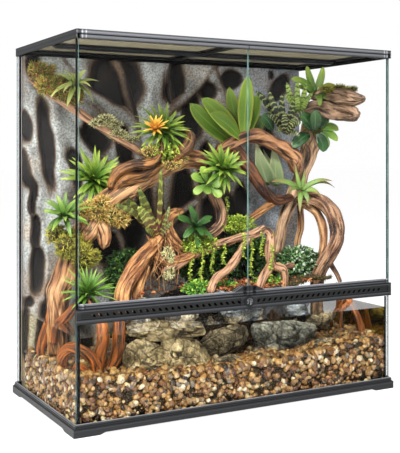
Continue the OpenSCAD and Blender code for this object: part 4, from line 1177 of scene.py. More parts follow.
@dataclass(frozen=True)
class Rosette:
    """A plant whose leaves stand round one heart, young ones upright and old ones lying out."""

    at: Point
    lean: Point
    count: int
    length: float
    width: float
    inner: float = 82
    outer: float = 5
    bend: float = 45
    outline: Outline = Outline.LANCE
    fold: float = 0.3
    seed: int = 0

    def grow(self, heap: Heap) -> None:
        """Adds the plant's leaves to a heap."""
        rng = np.random.default_rng(self.seed + 100)
        up = unit(np.array(self.lean, float))
        first = unit(np.cross(up, [0.3, 0.9, 0.2]))
        second = np.cross(up, first)
        for i in range(self.count):
            share = i / max(1, self.count - 1)
            turn = i * GOLDEN_TURN + self.seed + rng.uniform(-0.15, 0.15)
            outward = first * math.cos(turn) + second * math.sin(turn)
            stage = 0.55 + 0.45 * math.sin(math.pi * (0.15 + 0.6 * share))
            length = self.length * stage * rng.uniform(0.9, 1.08)
            rise = self.inner + (self.outer - self.inner) * share + rng.uniform(-6, 6)
            rib = arching(np.array(self.at) + outward * 2, outward, up, length, rise,
                          self.bend * rng.uniform(0.6, 1.3))
            side = np.cross(up, outward) + up * rng.uniform(-0.15, 0.15)
            lay_leaf(heap, rib, side, self.width * rng.uniform(0.85, 1.1), self.outline, self.fold,
                     tone=rng.uniform(0.15, 0.95), wave=0.03)


@dataclass(frozen=True)
class Blade:
    """One leaf placed by its root and tip, as wide as it shows, turned to face a given way."""

    root: Point
    tip: Point
    width: float
    arch: Point = (0, 0, 12)
    facing: Point = (-0.45, -0.85, 0.35)
    outline: Outline = Outline.LANCE
    fold: float = 0.22
    tone: float = 0.5
    wave: float = 0.02

    def grow(self, heap: Heap) -> None:
        """Adds the leaf to a heap."""
        root, tip, arch = (np.array(p, float) for p in (self.root, self.tip, self.arch))
        s = np.linspace(0, 1, 13)[:, None]
        rib = root * (1 - s) ** 2 + 2 * ((root + tip) / 2 + arch) * s * (1 - s) + tip * s ** 2
        side = unit(np.cross(np.array(self.facing, float), tip - root))
        lay_leaf(heap, rib, side, self.width, self.outline, self.fold, 0.7, self.tone, self.wave)


def blades(outline: Outline, rows: tuple[tuple, ...], fold: float = Blade.fold) -> tuple[Blade, ...]:
    """Makes leaves of one outline.

    Args:
        outline: Their outline.
        rows: Root, tip, width, arch and tone of each, and the way that it faces where it has its own.
        fold: How far their halves fold up.

    Returns:
        The leaves.
    """
    return tuple(Blade(root, tip, width, arch, *facing or (Blade.facing,), outline, fold, tone)
                 for root, tip, width, arch, tone, *facing in rows)


@lru_cache(maxsize=None)
def small_leaf(curl: float = 0.25) -> tuple[tuple[np.ndarray, tuple], np.ndarray]:
    """The small leaf that foliage is copied from: along X from its root, 1 long.

    Args:
        curl: How far its tip hangs.

    Returns:
        Its form, and the values that its pattern follows.
    """
    grid = ball(4, 4)
    s = grid.ring / 4
    w = 0.27 * np.sin(math.pi * s ** 0.8)
    points = np.stack([s, np.cos(grid.turn) * w, 0.05 * np.sin(grid.turn) * w / 0.27 - curl * s * s
                       + 0.12 * np.abs(np.cos(grid.turn)) * w / 0.27], axis=1)
    return (points, grid.faces), np.stack([np.cos(grid.turn), s, s * 0 + 0.5], axis=1)


@lru_cache(maxsize=None)
def wisp(curl: float) -> tuple[np.ndarray, tuple]:
    """The strand of moss that cushions are covered with: along X, 1 long, curled upwards."""
    grid = ball(3, 5)
    s = grid.ring / 5
    w = 0.075 * np.sin(math.pi * np.clip(s * 0.9 + 0.08, 0, 1)) * (grid.ring > 0) * (grid.ring < 5)
    points = np.stack([
        s, np.cos(grid.turn) * w + 0.12 * np.sin(s * 5 + curl * 3), np.sin(grid.turn) * w + curl * s * s,
    ], axis=1)
    return points, grid.faces


def frames_towards(aim: np.ndarray, sizes: np.ndarray, rng: np.random.Generator) -> np.ndarray:
    """Axes for copies that point along given directions, turned at random about them.

    Args:
        aim: The directions.
        sizes: Each copy's length.
        rng: Draws the turns.

    Returns:
        Three rows for each copy: its own X, Y and Z axes times its size.
    """
    x = unit(aim)
    y = unit(np.cross(x, unit(rng.normal(size=aim.shape))))
    z = np.cross(x, y)
    return np.stack([x, y, z], axis=1) * sizes[:, None, None]


def frames_facing(aim: np.ndarray, up: np.ndarray, sizes: np.ndarray) -> np.ndarray:
    """Axes for copies that point along aim with their upper face towards up."""
    x = unit(aim)
    y = unit(np.cross(up, x))
    z = np.cross(x, y)
    return np.stack([x, y, z], axis=1) * sizes[:, None, None]


# ---------- the tank ----------


@dataclass
class Enclosure:
    """Base, panes, strip, doors and lid, whose shapes the frame already holds."""

    pitch: float = 2.0
    wire: float = 0.75

    def build(self) -> None:
        """Dresses the frame's parts and weaves the two screens."""
        refinish(("base_frame",), Plastics.BASE.value)
        refinish(("vent_strip",), Plastics.STRIP.value)
        refinish(("left_door_bottom_rail", "right_door_bottom_rail"), Plastics.RAIL.value)
        refinish(("top_frame", "left_door_top_rail", "right_door_top_rail"), Plastics.LID.value)
        refinish(("lock_housing", "left_screen_frame", "right_screen_frame", "left_front_clip",
                  "left_rear_clip",
                  "right_front_clip", "right_rear_clip", "left_inlet_slider", "right_inlet_slider"),
                 Plastics.TRIM.value)
        refinish(("silicone_seams",), Plastics.SEAL.value)
        refinish(("lock_cylinder", "lock_cam"), Metals.CHROME.value)
        refinish(("left_hinge_pins", "right_hinge_pins"), Metals.STEEL.value)
        refinish(("left_glass", "right_glass"), FloatGlass("float_glass_side", "clear_glass", 0, "#132c2f",
                                                           "#3c5a5a"))
        refinish(("back_glass", "front_glass"), FloatGlass("float_glass_front", "clear_glass", 1, "#1a3436",
                                                           "#3f5d5c"))
        refinish(("left_door_glass", "right_door_glass"), FloatGlass("float_glass_door", "clear_glass", 1))
        refinish(("floor_glass",), FloatGlass("float_glass_floor", "clear_glass", 2))
        for side in ("left", "right"):
            self.weave(side)

    def weave(self, side: str) -> None:
        """Weaves one screen's wire cloth.

        Args:
            side: Which screen, left or right.
        """
        low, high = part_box(f"{side}_screen_mesh")
        heap = Heap()
        middle = (low + high) / 2 / MM
        size = (high - low) / MM
        for axis in (0, 1):
            deselect()
            bpy.ops.mesh.primitive_cylinder_add(vertices=4, radius=self.wire / 2, depth=size[axis])
            wire, faces = take_points(bpy.context.object)
            wire = wire[:, [2, 0, 1]] if axis == 0 else wire[:, [1, 2, 0]]
            count = int(size[1 - axis] / self.pitch)
            places = np.tile(np.array(middle), (count, 1))
            places[:, 1 - axis] += (np.arange(count) - (count - 1) / 2) * self.pitch
            places[:, 2] += 0.15 if axis else -0.15
            frames = np.tile(np.eye(3), (count, 1, 1))
            heap.scatter((wire, faces), places, frames, np.full(count, 0.5))
        cloth = heap.piece(f"{side}_wire_cloth", Metals.WIRE.value, (f"{side}_screen_mesh",), smooth=False,
                           inside=False)
        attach(cloth, f"{side}_screen")


@dataclass(frozen=True)
class Hollow:
    """A recess of the background: its middle, half width, half height and lean in degrees."""

    x: float
    z: float
    wide: float
    high: float
    lean: float

    def reach(self, x: np.ndarray, z: np.ndarray) -> np.ndarray:
        """Distance from its middle, 1 at its edge."""
        turn = math.radians(self.lean)
        dx = (x - self.x) * math.cos(turn) + (z - self.z) * math.sin(turn)
        dz = (z - self.z) * math.cos(turn) - (x - self.x) * math.sin(turn)
        return np.hypot(dx / (self.wide + 1), dz / (self.high + 2))


@dataclass(frozen=True)
class Root:
    """A root that crosses the recesses: its way over the panel, half width, height and shade."""

    way: tuple[tuple[float, float], ...]
    wide: float
    high: float
    shade: float

    def rise(self, x: np.ndarray, z: np.ndarray) -> np.ndarray:
        """Height of its round back, from 0 beside it to 1 on its ridge."""
        away = np.full(x.shape, np.inf)
        for (ax, az), (bx, bz) in zip(self.way, self.way[1:]):
            share = ((x - ax) * (bx - ax) + (z - az) * (bz - az)) / ((bx - ax) ** 2 + (bz - az) ** 2)
            share = np.clip(share, 0, 1)
            away = np.minimum(away, np.hypot(x - ax - share * (bx - ax), z - az - share * (bz - az)))
        return np.sqrt(np.clip(1 - (away / self.wide) ** 2, 0, 1))


HOLLOWS = tuple(Hollow(*row) for row in (
    (-408, 870, 14, 24, 0), (-372, 668, 13, 112, 8), (-430, 711, 13, 36, 16), (-430, 597, 13, 56, 14),
    (-412, 520, 6, 44, 0), (-405, 425, 9, 42, 4), (-400, 325, 16, 58, 0), (-424, 240, 7, 12, 0),
    (-172, 832, 74, 80, 0), (-228, 686, 36, 44, 25), (-144, 650, 22, 66, 10), (10, 832, 24, 66, 0),
    (119, 820, 26, 28, -30), (201, 858, 26, 26, -30), (69, 744, 30, 62, 10), (372, 838, 22, 46, -35),
    (339, 874, 7, 9, 0), (-199, 388, 42, 56, 12), (-123, 395, 28, 62, -8), (-82, 500, 20, 84, 5),
    (39, 515, 26, 84, 0), (232, 480, 18, 56, 0), (10, 690, 26, 40, 0), (190, 420, 30, 80, 0),
    (320, 640, 16, 80, -8), (60, 350, 34, 50, 0), (-290, 600, 12, 50, 10), (110, 600, 16, 60, 0),
    (-434, 150, 9, 70, 0), (-384, 160, 11, 64, 0), (-330, 150, 15, 70, 0), (-262, 160, 16, 80, 4),
    (-300, 350, 26, 46, 0),
    (-352, 250, 18, 40, 0), (-30, 330, 30, 50, 0), (120, 460, 18, 60, 0), (130, 330, 26, 50, 0),
))
ROOTS = tuple(Root(*row) for row in (
    (((-345, 905), (-305, 838), (-262, 806), (-222, 782), (-162, 748), (-122, 712), (-104, 660), (-98, 560)),
     21, 1, 0.85),
    (((-176, 905), (-156, 842), (-130, 759), (-104, 700)), 17, 0.8, 0.46),
    (((-8, 905), (2, 840), (6, 770)), 11, 0.7, 0.44),
    (((-10, 752), (52, 803), (109, 862), (150, 905)), 18, 1, 0.66),
    (((142, 885), (166, 828), (186, 776), (182, 700)), 17, 1, 0.85),
    (((-330, 520), (-222, 438), (-168, 420), (-142, 352), (-134, 290)), 13, 0.9, 0.75),
    (((-222, 436), (-180, 470), (-150, 560)), 12, 0.9, 0.7),
    (((120, 520), (40, 470), (-30, 400)), 12, 0.8, 0.6),
    (((-285, 700), (-250, 640), (-190, 600), (-120, 590)), 14, 0.9, 0.7),
    (((0, 620), (-12, 545), (-26, 470), (-44, 400)), 30, 1, 1),
    (((-250, 560), (-236, 500), (-262, 430), (-282, 330)), 20, 1, 0.95),
))


@dataclass
class Background:
    """The moulded background: round columns that part and join over deep recesses."""

    step: float = 3.4
    skin: float = 9.0
    relief: float = 26.0
    pitch: float = 96.0
    look: float = 12.0
    back_tone: float = 0.6

    def build(self) -> None:
        """Shapes a grid into the columns and closes it to a flat back."""
        low, high = (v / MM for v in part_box("foam_background"))
        nx = round((high.x - low.x) / self.step)
        nz = round((high.z - low.z) / self.step)
        deselect()
        bpy.ops.mesh.primitive_grid_add(x_subdivisions=nx, y_subdivisions=nz, size=2)
        panel = bpy.context.object
        panel.name = panel.data.name = "background_panel"
        flat = np.zeros(len(panel.data.vertices) * 3)
        panel.data.vertices.foreach_get("co", flat)
        flat = flat.reshape(-1, 3)
        x = low.x + (flat[:, 0] + 1) / 2 * (high.x - low.x)
        z = low.z + (flat[:, 1] + 1) / 2 * (high.z - low.z)
        height, tone = self.surface(x, z)
        # Painted shade: darker where a column turns away to the right, away from the light at the left
        beside, _ = self.surface(x + self.look, z)
        tone = np.clip(tone * np.clip(1.06 - 1.5 * (height - beside), 0.3, 1.3), 0, 1)
        points = np.stack([x, high.y - self.skin - self.relief * height, z], axis=1)
        points[:, 1] = np.maximum(points[:, 1], low.y)
        panel.data.vertices.foreach_set("co", (points * MM).ravel())
        shade = panel.data.attributes.new("tone", "FLOAT", "POINT")
        shade.data.foreach_set("value", tone.astype(np.float32))
        bpy.ops.object.mode_set(mode="EDIT")
        bpy.ops.mesh.select_all(action="SELECT")
        bpy.ops.mesh.region_to_loop()
        bpy.ops.mesh.extrude_edges_move()
        bpy.ops.transform.resize(value=(1, 0, 1), center_override=(0, high.y * MM, 0))
        bpy.ops.mesh.edge_face_add()
        bpy.ops.mesh.select_all(action="SELECT")
        bpy.ops.mesh.normals_make_consistent(inside=False)
        bpy.ops.object.mode_set(mode="OBJECT")
        bpy.ops.object.shade_smooth_by_angle(angle=math.radians(60))
        # The flat back is bare, of one shade
        full = np.zeros(len(panel.data.vertices) * 3)
        panel.data.vertices.foreach_get("co", full)
        tones = np.zeros(len(panel.data.vertices), dtype=np.float32)
        shade = panel.data.attributes["tone"]
        shade.data.foreach_get("value", tones)
        tones[full[1::3] > (high.y - 0.1) * MM] = self.back_tone
        shade.data.foreach_set("value", tones)
        dress(panel, RockFoam("moulded_rock_foam", "moulded_foam"), nodes=("foam_background",))

    def surface(self, x: np.ndarray, z: np.ndarray) -> tuple[np.ndarray, np.ndarray]:
        """The columns' height and shade.

        Args:
            x: Places across, in millimetres.
            z: Places up, in millimetres.

        Returns:
            Height from 0 in a recess to 1 on a column, and shade from 0 to 1.
        """
        places = np.stack([x, z * 0, z], axis=1)
        shift = 7 * lumps(places, 45, 3)
        reach = np.min([hollow.reach(x + shift, z + shift) for hollow in HOLLOWS], axis=0)
        edge = np.clip((reach - 0.85) / 0.9, 0, 1)
        column = np.sin((x + 1.6 * shift + 0.12 * z) * math.tau / self.pitch)
        height = 0.92 * (1 - (1 - edge) ** 2.2) * (0.84 + 0.16 * column)
        cloud = 0.85 + 0.3 * lumps(places, 80, 9, 2)
        # Behind the planting's thick middle hardly any light reaches the panel
        dim = 1 - 0.72 * np.exp(-((x - 10) / 210) ** 2 - ((z - 430) / 150) ** 2)
        # The recesses are dark paint deepened with painted shade
        shade = smooth_step(reach, 0.82, 1.45) * cloud * dim
        for root in ROOTS:
            rise = root.rise(x + shift, z + shift * 0.6)
            over = (rise > 0) & (rise * 0.9 * root.high > height)
            height = np.where(over, rise * 0.9 * root.high, height)
            # A root keeps its own shade on its ridge and is painted darker towards its sides, as shade on its
            # round back
            shade = np.where(over, root.shade * (0.45 + 0.55 * rise ** 2) * cloud, shade)
        rough = 0.06 * lumps(places, 18, 5, 3) + 0.08 * lumps(places * [1, 1, 0.3], 50, 8, 2)
        height = np.clip(height + rough + 0.05, 0, 1.15)
        shade = np.clip(shade + 0.05, 0, 1)
        return height, shade


# ---------- ground and stones ----------


def bed_level(x: np.ndarray, y: np.ndarray) -> np.ndarray:
    """Level of the gravel in millimetres: it rises to both ends and falls a little to the back left."""
    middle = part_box("gravel_bed")[1].z / MM - 0.00013 * 445 ** 2 - 0.012 * 445
    wavy = 3 * np.sin(np.radians(x * 2.3)) * np.cos(np.radians(y * 1.9))
    return middle + 0.00013 * x * x + 0.012 * x + wavy - np.where(x < 0, 0.00006 * -x * (y + 219), 0)


@dataclass
class Gravel:
    """Washed river gravel: rounded pebbles of 12 to 33 mm against the panes and on top."""

    seed: int = 11
    back: float = 178.0
    front_count: int = 1080
    end_count: int = 560
    top_count: int = 2300

    def build(self) -> None:
        """Lays a near-black bed, which paints the shade between the pebbles, and the pebbles over it."""
        self.gap_shade_bed()
        rng = np.random.default_rng(self.seed)
        front = self.wall(rng, -INSIDE.half, INSIDE.half, self.front_count)
        places = np.stack([front[:, 0], INSIDE.front + front[:, 2], front[:, 1]], axis=1)
        self.lay("pebbles_front", rng, places, front[:, 3])
        ends = []
        for sign in (-1, 1):
            spots = self.wall(rng, INSIDE.front + 4, self.back, self.end_count, sign * INSIDE.half)
            ends.append(np.stack([sign * (INSIDE.half - spots[:, 2]), spots[:, 0], spots[:, 1], spots[:, 3]],
                                 axis=1))
        both = np.concatenate(ends)
        self.lay("pebbles_ends", rng, both[:, :3], both[:, 3])
        count = self.top_count
        x = rng.uniform(-INSIDE.half + 6, INSIDE.half - 6, count)
        y = INSIDE.front + 6 + rng.uniform(0, 1, count) ** 1.2 * (self.back - 2 - INSIDE.front)
        size = self.sizes(rng, count)
        z = bed_level(x, y) - size * rng.uniform(0.1, 0.8, count)
        self.lay("pebbles_top", rng, np.stack([x, y, z], axis=1), size)

    @staticmethod
    def sizes(rng: np.random.Generator, count: int) -> np.ndarray:
        """Half lengths of pebbles, most of them small."""
        return 6.0 + 10.5 * rng.beta(1.3, 2.8, count)

    def wall(self, rng: np.random.Generator, start: float, end: float, count: int,
             x: float | None = None) -> np.ndarray:
        """Places pebbles that lie against a pane.

        Args:
            rng: Draws the places.
            start: One end of the pane.
            end: Its other end.
            count: How many pebbles.
            x: Place of an end pane, or none for the front.

        Returns:
            For each pebble: place along the pane, height, distance from the pane and half length.
        """
        size = self.sizes(rng, count)
        run = rng.uniform(start + 5, end - 5, count)
        level = bed_level(run, np.full(count, INSIDE.front)) if x is None else bed_level(np.full(count, x),
                                                                                         run)
        share = (np.arange(count) + rng.uniform(0, 1, count)) / count
        rng.shuffle(share)
        high = INSIDE.floor + 3 + share * (level - INSIDE.floor - 4)
        away = size * rng.uniform(0.62, 1.0, count) + rng.choice([0, 5.0], count, p=[0.6, 0.4])
        return np.stack([run, high, away, size], axis=1)

    def lay(self, name: str, rng: np.random.Generator, places: np.ndarray, size: np.ndarray) -> None:
        """Lays pebbles as one piece.

        Args:
            name: The piece's name.
            rng: Draws their turns, proportions and colours.
            places: Their middles in millimetres.
            size: Their half lengths.
        """
        heap = Heap()
        frames = frames_towards(rng.normal(size=places.shape) * [1, 1, 0.5], size, rng)
        frames[:, 1] *= rng.uniform(0.72, 0.98, len(size))[:, None]
        frames[:, 2] *= rng.uniform(0.5, 0.85, len(size))[:, None]
        heap.scatter(pebble_form(), places, frames, rng.uniform(0, 1, len(size)))
        heap.piece(name, Small.PEBBLES.value)

    def gap_shade_bed(self) -> None:
        """Lays a near-black bed under the pebbles, which paints the shade in the gaps between them."""
        deselect()
        bpy.ops.mesh.primitive_grid_add(x_subdivisions=120, y_subdivisions=50, size=2)
        grid, faces = take_points(bpy.context.object)
        x = grid[:, 0] * (INSIDE.half - 7)
        y = (INSIDE.front + 7) + (grid[:, 1] + 1) / 2 * (self.back + 2 - INSIDE.front - 7)
        top = np.stack([x, y, bed_level(x, y) - 6], axis=1)
        top[:, 2] += 2 * lumps(top, 12, 4, 2)
        rim = self.rim(grid)
        foot = top[rim] * [1, 1, 0] + [0, 0, INSIDE.floor + 0.4]
        count = len(top)
        number = np.arange(len(rim))
        after = np.roll(number, -1)
        walls = np.stack([rim, count + number, count + after, rim[after]], axis=1)
        heap = Heap()
        middle = np.array([[0, 0, INSIDE.floor + 0.4]])
        points = np.concatenate([top, foot, middle])
        fan = np.stack([count + after, count + number, np.full(len(rim), count + len(rim))], axis=1)
        tone = np.clip(0.6 + 0.4 * lumps(points, 15, 6, 2), 0, 1)
        heap.add(points, (*faces, walls, fan), points * MM, tone)
        heap.piece("gravel_gap_shade", Stones.BED.value, ("gravel_bed",))

    @staticmethod
    def rim(grid: np.ndarray) -> np.ndarray:
        """Numbers of a square grid's outermost points, in order round it, against the clock from above."""
        outer = np.flatnonzero(np.max(np.abs(grid[:, :2]), axis=1) > 0.9999)
        turn = np.arctan2(grid[outer, 1], grid[outer, 0])
        return outer[np.argsort(turn)]


@dataclass(frozen=True)
class Rock:
    """A boulder: middle, size, squareness, roughness, turn in degrees and depth of its cracks."""

    at: Point
    size: Point
    square: float = 2.8
    rough: float = 0.12
    turn: float = 0
    seed: int = 1
    cracks: float = 0.05
    levels: int = 6

    def grow(self, heap: Heap) -> None:
        """Adds the rock to a heap."""
        form, faces = rock_form(self.levels)
        grown = np.power(np.sum(np.abs(form) ** self.square, axis=1), -1 / self.square)[:, None] * form
        rng = np.random.default_rng(self.seed + 60)
        for side in unit(rng.normal(size=(14, 3))):
            over = np.maximum(0, grown @ side - rng.uniform(0.72, 0.95))
            grown = grown - over[:, None] * side
        points = grown * np.array(self.size) / 2
        shifted = points + self.seed * 173.0
        broad = lumps(shifted, 60, self.seed, 3)
        layers = np.abs(lumps(shifted * [0.6, 0.6, 1.6], 38, self.seed + 3, 2))
        split = smooth_step(layers, 0.0, 0.07)
        fine = lumps(shifted, 9, self.seed + 8, 3)
        chips = np.abs(lumps(shifted * [1, 1, 1.4], 16, self.seed + 5, 2))
        points *= (1 + self.rough * broad + 0.045 * chips + 0.028 * fine - self.cracks * (1 - split))[:, None]
        turn = math.radians(self.turn)
        cos, sin = math.cos(turn), math.sin(turn)
        points = points @ np.array([[cos, 0, -sin], [0, 1, 0], [sin, 0, cos]])
        # Painted shade: the tone is darker where the rock sinks in and along the cracks between its layers
        tone = np.clip(0.5 + 0.5 * broad + 0.45 * fine + 0.4 * chips, 0, 1) * (0.2 + 0.8 * split)
        heap.add(points + np.array(self.at), faces, points * MM, tone)


@dataclass
class Ground:
    """The bank of soil behind the water, its stones, and the litter that lies on it."""

    seed: int = 5
    litter_level: float = 279.0
    litter_thick: int = 650
    litter_thin: int = 250

    def build(self) -> None:
        """Carves the rocks and the bank and strews the litter."""
        assemble("grey_boulder_stone", Stones.GREY, (
            Rock((195, -85, 128), (200, 120, 128), 2.8, 0.14, 8, 2),), ("grey_boulder",))
        assemble("middle_boulder_stone", Stones.OLIVE, (
            Rock((10, -80, 150), (150, 90, 72), 2.6, 0.16, -12, 5),), ("middle_boulder",))
        assemble("left_boulder_stone", Stones.BEIGE, (
            Rock((-125, -115, 118), (150, 90, 105), 2.6, 0.18, 20, 7),), ("left_boulder",))
        assemble("flat_slab_stone", Stones.BEIGE, (
            Rock((-150, -85, 190), (230, 120, 52), 3.2, 0.12, 4, 9),), ("flat_slab",))
        assemble("speckled_stone", Stones.SPECKLED, (
            Rock((312, -125, 112), (110, 60, 44), 2.6, 0.1, 0, 4, 0.02, 5),), ("small_stones",))
        assemble("side_stones", Stones.OLIVE, (
            Rock((-15, -148, 105), (84, 46, 40), 2.6, 0.12, 0, 6, 0.04, 5),
            Rock((345, -30, 178), (110, 90, 60), 2.6, 0.12, -14, 8, 0.04, 5),
            Rock((-290, -30, 130), (120, 90, 80), 2.6, 0.12, 0, 11, 0.04, 5)))
        self.rubble()
        self.bank()

    def rubble(self) -> None:
        """Stacks rubble against the front of the bank."""
        rng = np.random.default_rng(self.seed + 2)
        for name, stone in (("rubble_beige", Stones.BEIGE), ("rubble_grey", Stones.GREY),
                            ("rubble_olive", Stones.OLIVE)):
            rocks = []
            for k in range(8):
                at = (rng.uniform(-235, 330), rng.uniform(-72, -56), 205 + 52 * rng.random())
                size = (rng.uniform(45, 100), 44, rng.uniform(30, 58))
                rocks.append(Rock(at, size, 2.8, 0.18, rng.uniform(-25, 25), 20 + k * 3, 0.05, 4))
            if stone is Stones.BEIGE:
                rocks.append(Rock((-218, -100, 132), (124, 66, 84), 2.6, 0.16, 12, 50, 0.05, 5))
            assemble(name, stone, rocks)

    def bank(self) -> None:
        """Carves the bank of soil and lays leaf litter and chips on it, most of them in its middle."""
        assemble("soil_bank", Stones.SOIL, (Rock((45, 60, 185), (590, 250, 186), 5, 0.05, 0, 3, 0.02),),
                 ("land_bank",))
        rng = np.random.default_rng(self.seed)
        thick, thin = self.litter_thick, self.litter_thin
        count = thick + thin
        x = np.concatenate([rng.uniform(-60, 190, thick), rng.uniform(-240, 340, thin)])
        y = np.concatenate([rng.uniform(-78, 20, thick), rng.uniform(-72, 100, thin)])
        z = self.litter_level + rng.uniform(-3, 7, count)
        aim = rng.normal(size=(count, 3)) * [1, 1, 0.35]
        up = rng.normal(size=(count, 3)) * 0.45 + [0, 0, 1]
        frames = frames_facing(aim, up, rng.uniform(9, 20, count))
        heap = Heap()
        heap.scatter(small_leaf(0.15)[0], np.stack([x, y, z], axis=1), frames, rng.uniform(0, 1, count))
        heap.piece("leaf_litter", Small.LITTER.value)


# ---------- driftwood ----------


@dataclass
class Driftwood:
    """The wood that the planting hangs on, each limb on the route that it has in the frame."""

    def build(self) -> None:
        """Grows every limb."""
        self.left()
        self.arch()
        self.rootlets()
        self.tan()
        self.trunk()
        self.top()
        self.loop()
        self.roots()

    def left(self) -> None:
        """The trunk at the left with its fork and its open cup."""
        assemble("left_trunk_wood", Wood.TAN, (
            Limb(((-400, 60, 120), (-395, 55, 215), (-395, 50, 280), (-385, 40, 325), (-370, 40, 368),
                  (-340, 40, 415),
                  (-308, 40, 462), (-272, 40, 508), (-222, 45, 535), (-165, 55, 562), (-105, 65, 598),
                  (-35, 70, 622),
                  (40, 60, 612)), (24, 25, 28, 27, 25, 27, 29, 27, 25, 25, 28, 28, 20), groove=0.22,
                 knot=0.16, seed=3),
            Limb(((-300, 30, 470), (-285, 20, 430), (-290, 10, 395)), (22, 20, 12), groove=0.22, seed=4),
        ), ("left_driftwood",))
        assemble("cup_wood", Wood.CUP, (
            Limb(((-266, 26, 548), (-250, 14, 588), (-208, 6, 606), (-160, 0, 612), (-132, 8, 640),
                  (-126, 16, 668)),
                 (9, 14, 13, 12, 11, 6), 1.3, 5, 0.34, 0.26, 0.12, 5),
            Limb(((-258, 34, 540), (-226, 26, 572), (-172, 22, 582), (-120, 26, 606)), (11, 19, 19, 12), 1.3,
                 5, 0.34,
                 0.2, 0.08, 45),
            Limb(((-100, 40, 596), (-76, 20, 632), (-48, 8, 652), (-34, 14, 682), (-46, 22, 700)),
                 (12, 19, 17, 12, 6),
                 1.2, 5, 0.3, 0.24, 0.12, 6),
        ))
        assemble("mossy_branch_wood", Wood.BRANCH, (
            Limb(((-428, 182, 836), (-380, 140, 788), (-320, 122, 750), (-258, 108, 706), (-190, 92, 664),
                  (-118, 70, 614)), (7, 10, 11, 10, 9, 7), knot=0.3, groove=0.12, seed=7),
        ), ("mossy_branch",))

    def arch(self) -> None:
        """The fibrous arch over the water and its two hooks."""
        assemble("arch_wood", Wood.ORANGE, (
            Limb(((-272, -60, 236), (-266, -58, 290), (-240, -50, 335), (-200, -36, 372), (-160, -15, 396),
                  (-125, 5, 425)), (22, 22, 22, 20, 18, 14), strands=6, groove=0.24, twist=0.16, seed=8),
            Limb(((-225, -50, 255), (-215, -45, 305), (-185, -30, 350)), (14, 14, 12), strands=4, groove=0.2,
                 seed=9),
            Limb(((-160, -25, 372), (-120, -25, 356), (-70, -25, 362), (-30, -20, 374)), (16, 14, 14, 10),
                 strands=5,
                 groove=0.2, seed=10),
            Limb(((-45, 45, 482), (-85, 35, 470), (-106, 20, 440), (-98, 8, 408), (-70, 0, 385),
                  (-35, -5, 372)),
                 (10, 16, 20, 20, 16, 10), strands=5, groove=0.24, twist=0.2, seed=11),
        ), ("arch_driftwood",))
        assemble("hook_wood", Wood.LOOP, (
            Limb(((40, 60, 545), (56, 45, 512), (68, 30, 475), (58, 22, 440), (24, 20, 415), (-16, 26, 410),
                  (-38, 40, 425)), (12, 17, 18, 17, 16, 13, 8), strands=5, groove=0.22, twist=0.12, seed=12),
        ))

    def rootlets(self) -> None:
        """The thin dry roots that hang from the arch and from its hooks."""
        rng = np.random.default_rng(31)
        limbs = []
        for k in range(34):
            x, y, z = rng.uniform(-185, -95), rng.uniform(-40, 5), rng.uniform(360, 430)
            drop = rng.uniform(60, 125) * (1.1 - 0.3 * (k % 2))
            sway = rng.uniform(-16, 16, 3)
            route = ((x, y, z), (x + sway[0], y - 8, z - drop * 0.35), (x + sway[1], y - 10, z - drop * 0.7),
                     (x + sway[2], y - 8, max(284.0, z - drop)))
            limbs.append(Limb(route, (1.6, 1.4, 1.2, 0.7), groove=0, knot=0.2, seed=k))
        assemble("hanging_rootlets", Wood.TAN, limbs)

    def tan(self) -> None:
        """The peeled tan branches in front."""
        assemble("tan_branch_wood", Wood.BRANCH, (
            Limb(((-140, -35, 330), (-82, -25, 350), (-10, -20, 380), (80, -20, 402), (135, -20, 412),
                  (182, -20, 430)),
                 (12, 12, 11, 12, 12, 11), groove=0.1, knot=0.2, seed=13),
            Limb(((180, -20, 428), (192, -30, 405), (182, -40, 365), (190, -42, 330), (220, -50, 313),
                  (222, -52, 262)),
                 (11, 12, 14, 13, 10, 10), groove=0.1, knot=0.2, seed=14),
            Limb(((-38, -92, 275), (-10, -80, 310), (28, -68, 326), (65, -50, 350), (98, -32, 380),
                  (128, -22, 402)),
                 (10, 11, 11, 11, 10, 9), groove=0.1, knot=0.2, seed=15),
            Limb(((188, -42, 332), (152, -60, 308), (118, -80, 268)), (12, 12, 11), groove=0.1, knot=0.2,
                 seed=16),
            Limb(((212, -48, 314), (238, -44, 322), (264, -40, 324)), (8, 8, 8), groove=0.1, knot=0.25,
                 seed=17),
        ), ("tan_branches",))

    def trunk(self) -> None:
        """The bleached trunk at the back right with its arm, plate and strut."""
        assemble("pale_trunk_wood", Wood.PALE, (
            Limb(((402, 62, 742), (402, 75, 690), (398, 80, 640), (374, 80, 575), (340, 78, 512),
                  (312, 78, 455),
                  (296, 84, 390), (282, 90, 300), (276, 92, 262)), (34, 32, 27, 22, 20, 17, 16, 18, 18),
                 groove=0.12,
                 knot=0.14, seed=18),
        ), ("trunk_driftwood",))
        assemble("curved_arm_wood", Wood.ARM, (
            Limb(((70, 60, 640), (140, 58, 675), (192, 50, 686), (236, 40, 668), (276, 30, 650),
                  (308, 26, 622),
                  (316, 30, 578)), (14, 18, 19, 18, 20, 20, 12), 1.3, 0, 0.2, 0.14, 0.05, 19),
        ))
        assemble("dark_plate_wood", Wood.PLATE, (
            Limb(((110, 60, 668), (150, 60, 628), (190, 52, 568), (222, 45, 528), (262, 48, 500),
                  (330, 70, 508)),
                 (16, 18, 20, 17, 15, 14), 1.4, 4, 0.28, 0.12, 0.04, 20),
        ))
        assemble("orange_strut_wood", Wood.ORANGE, (
            Limb(((262, 55, 500), (205, 50, 470), (130, 40, 430)), (12, 12, 8), strands=3, groove=0.2,
                 seed=21),
        ))

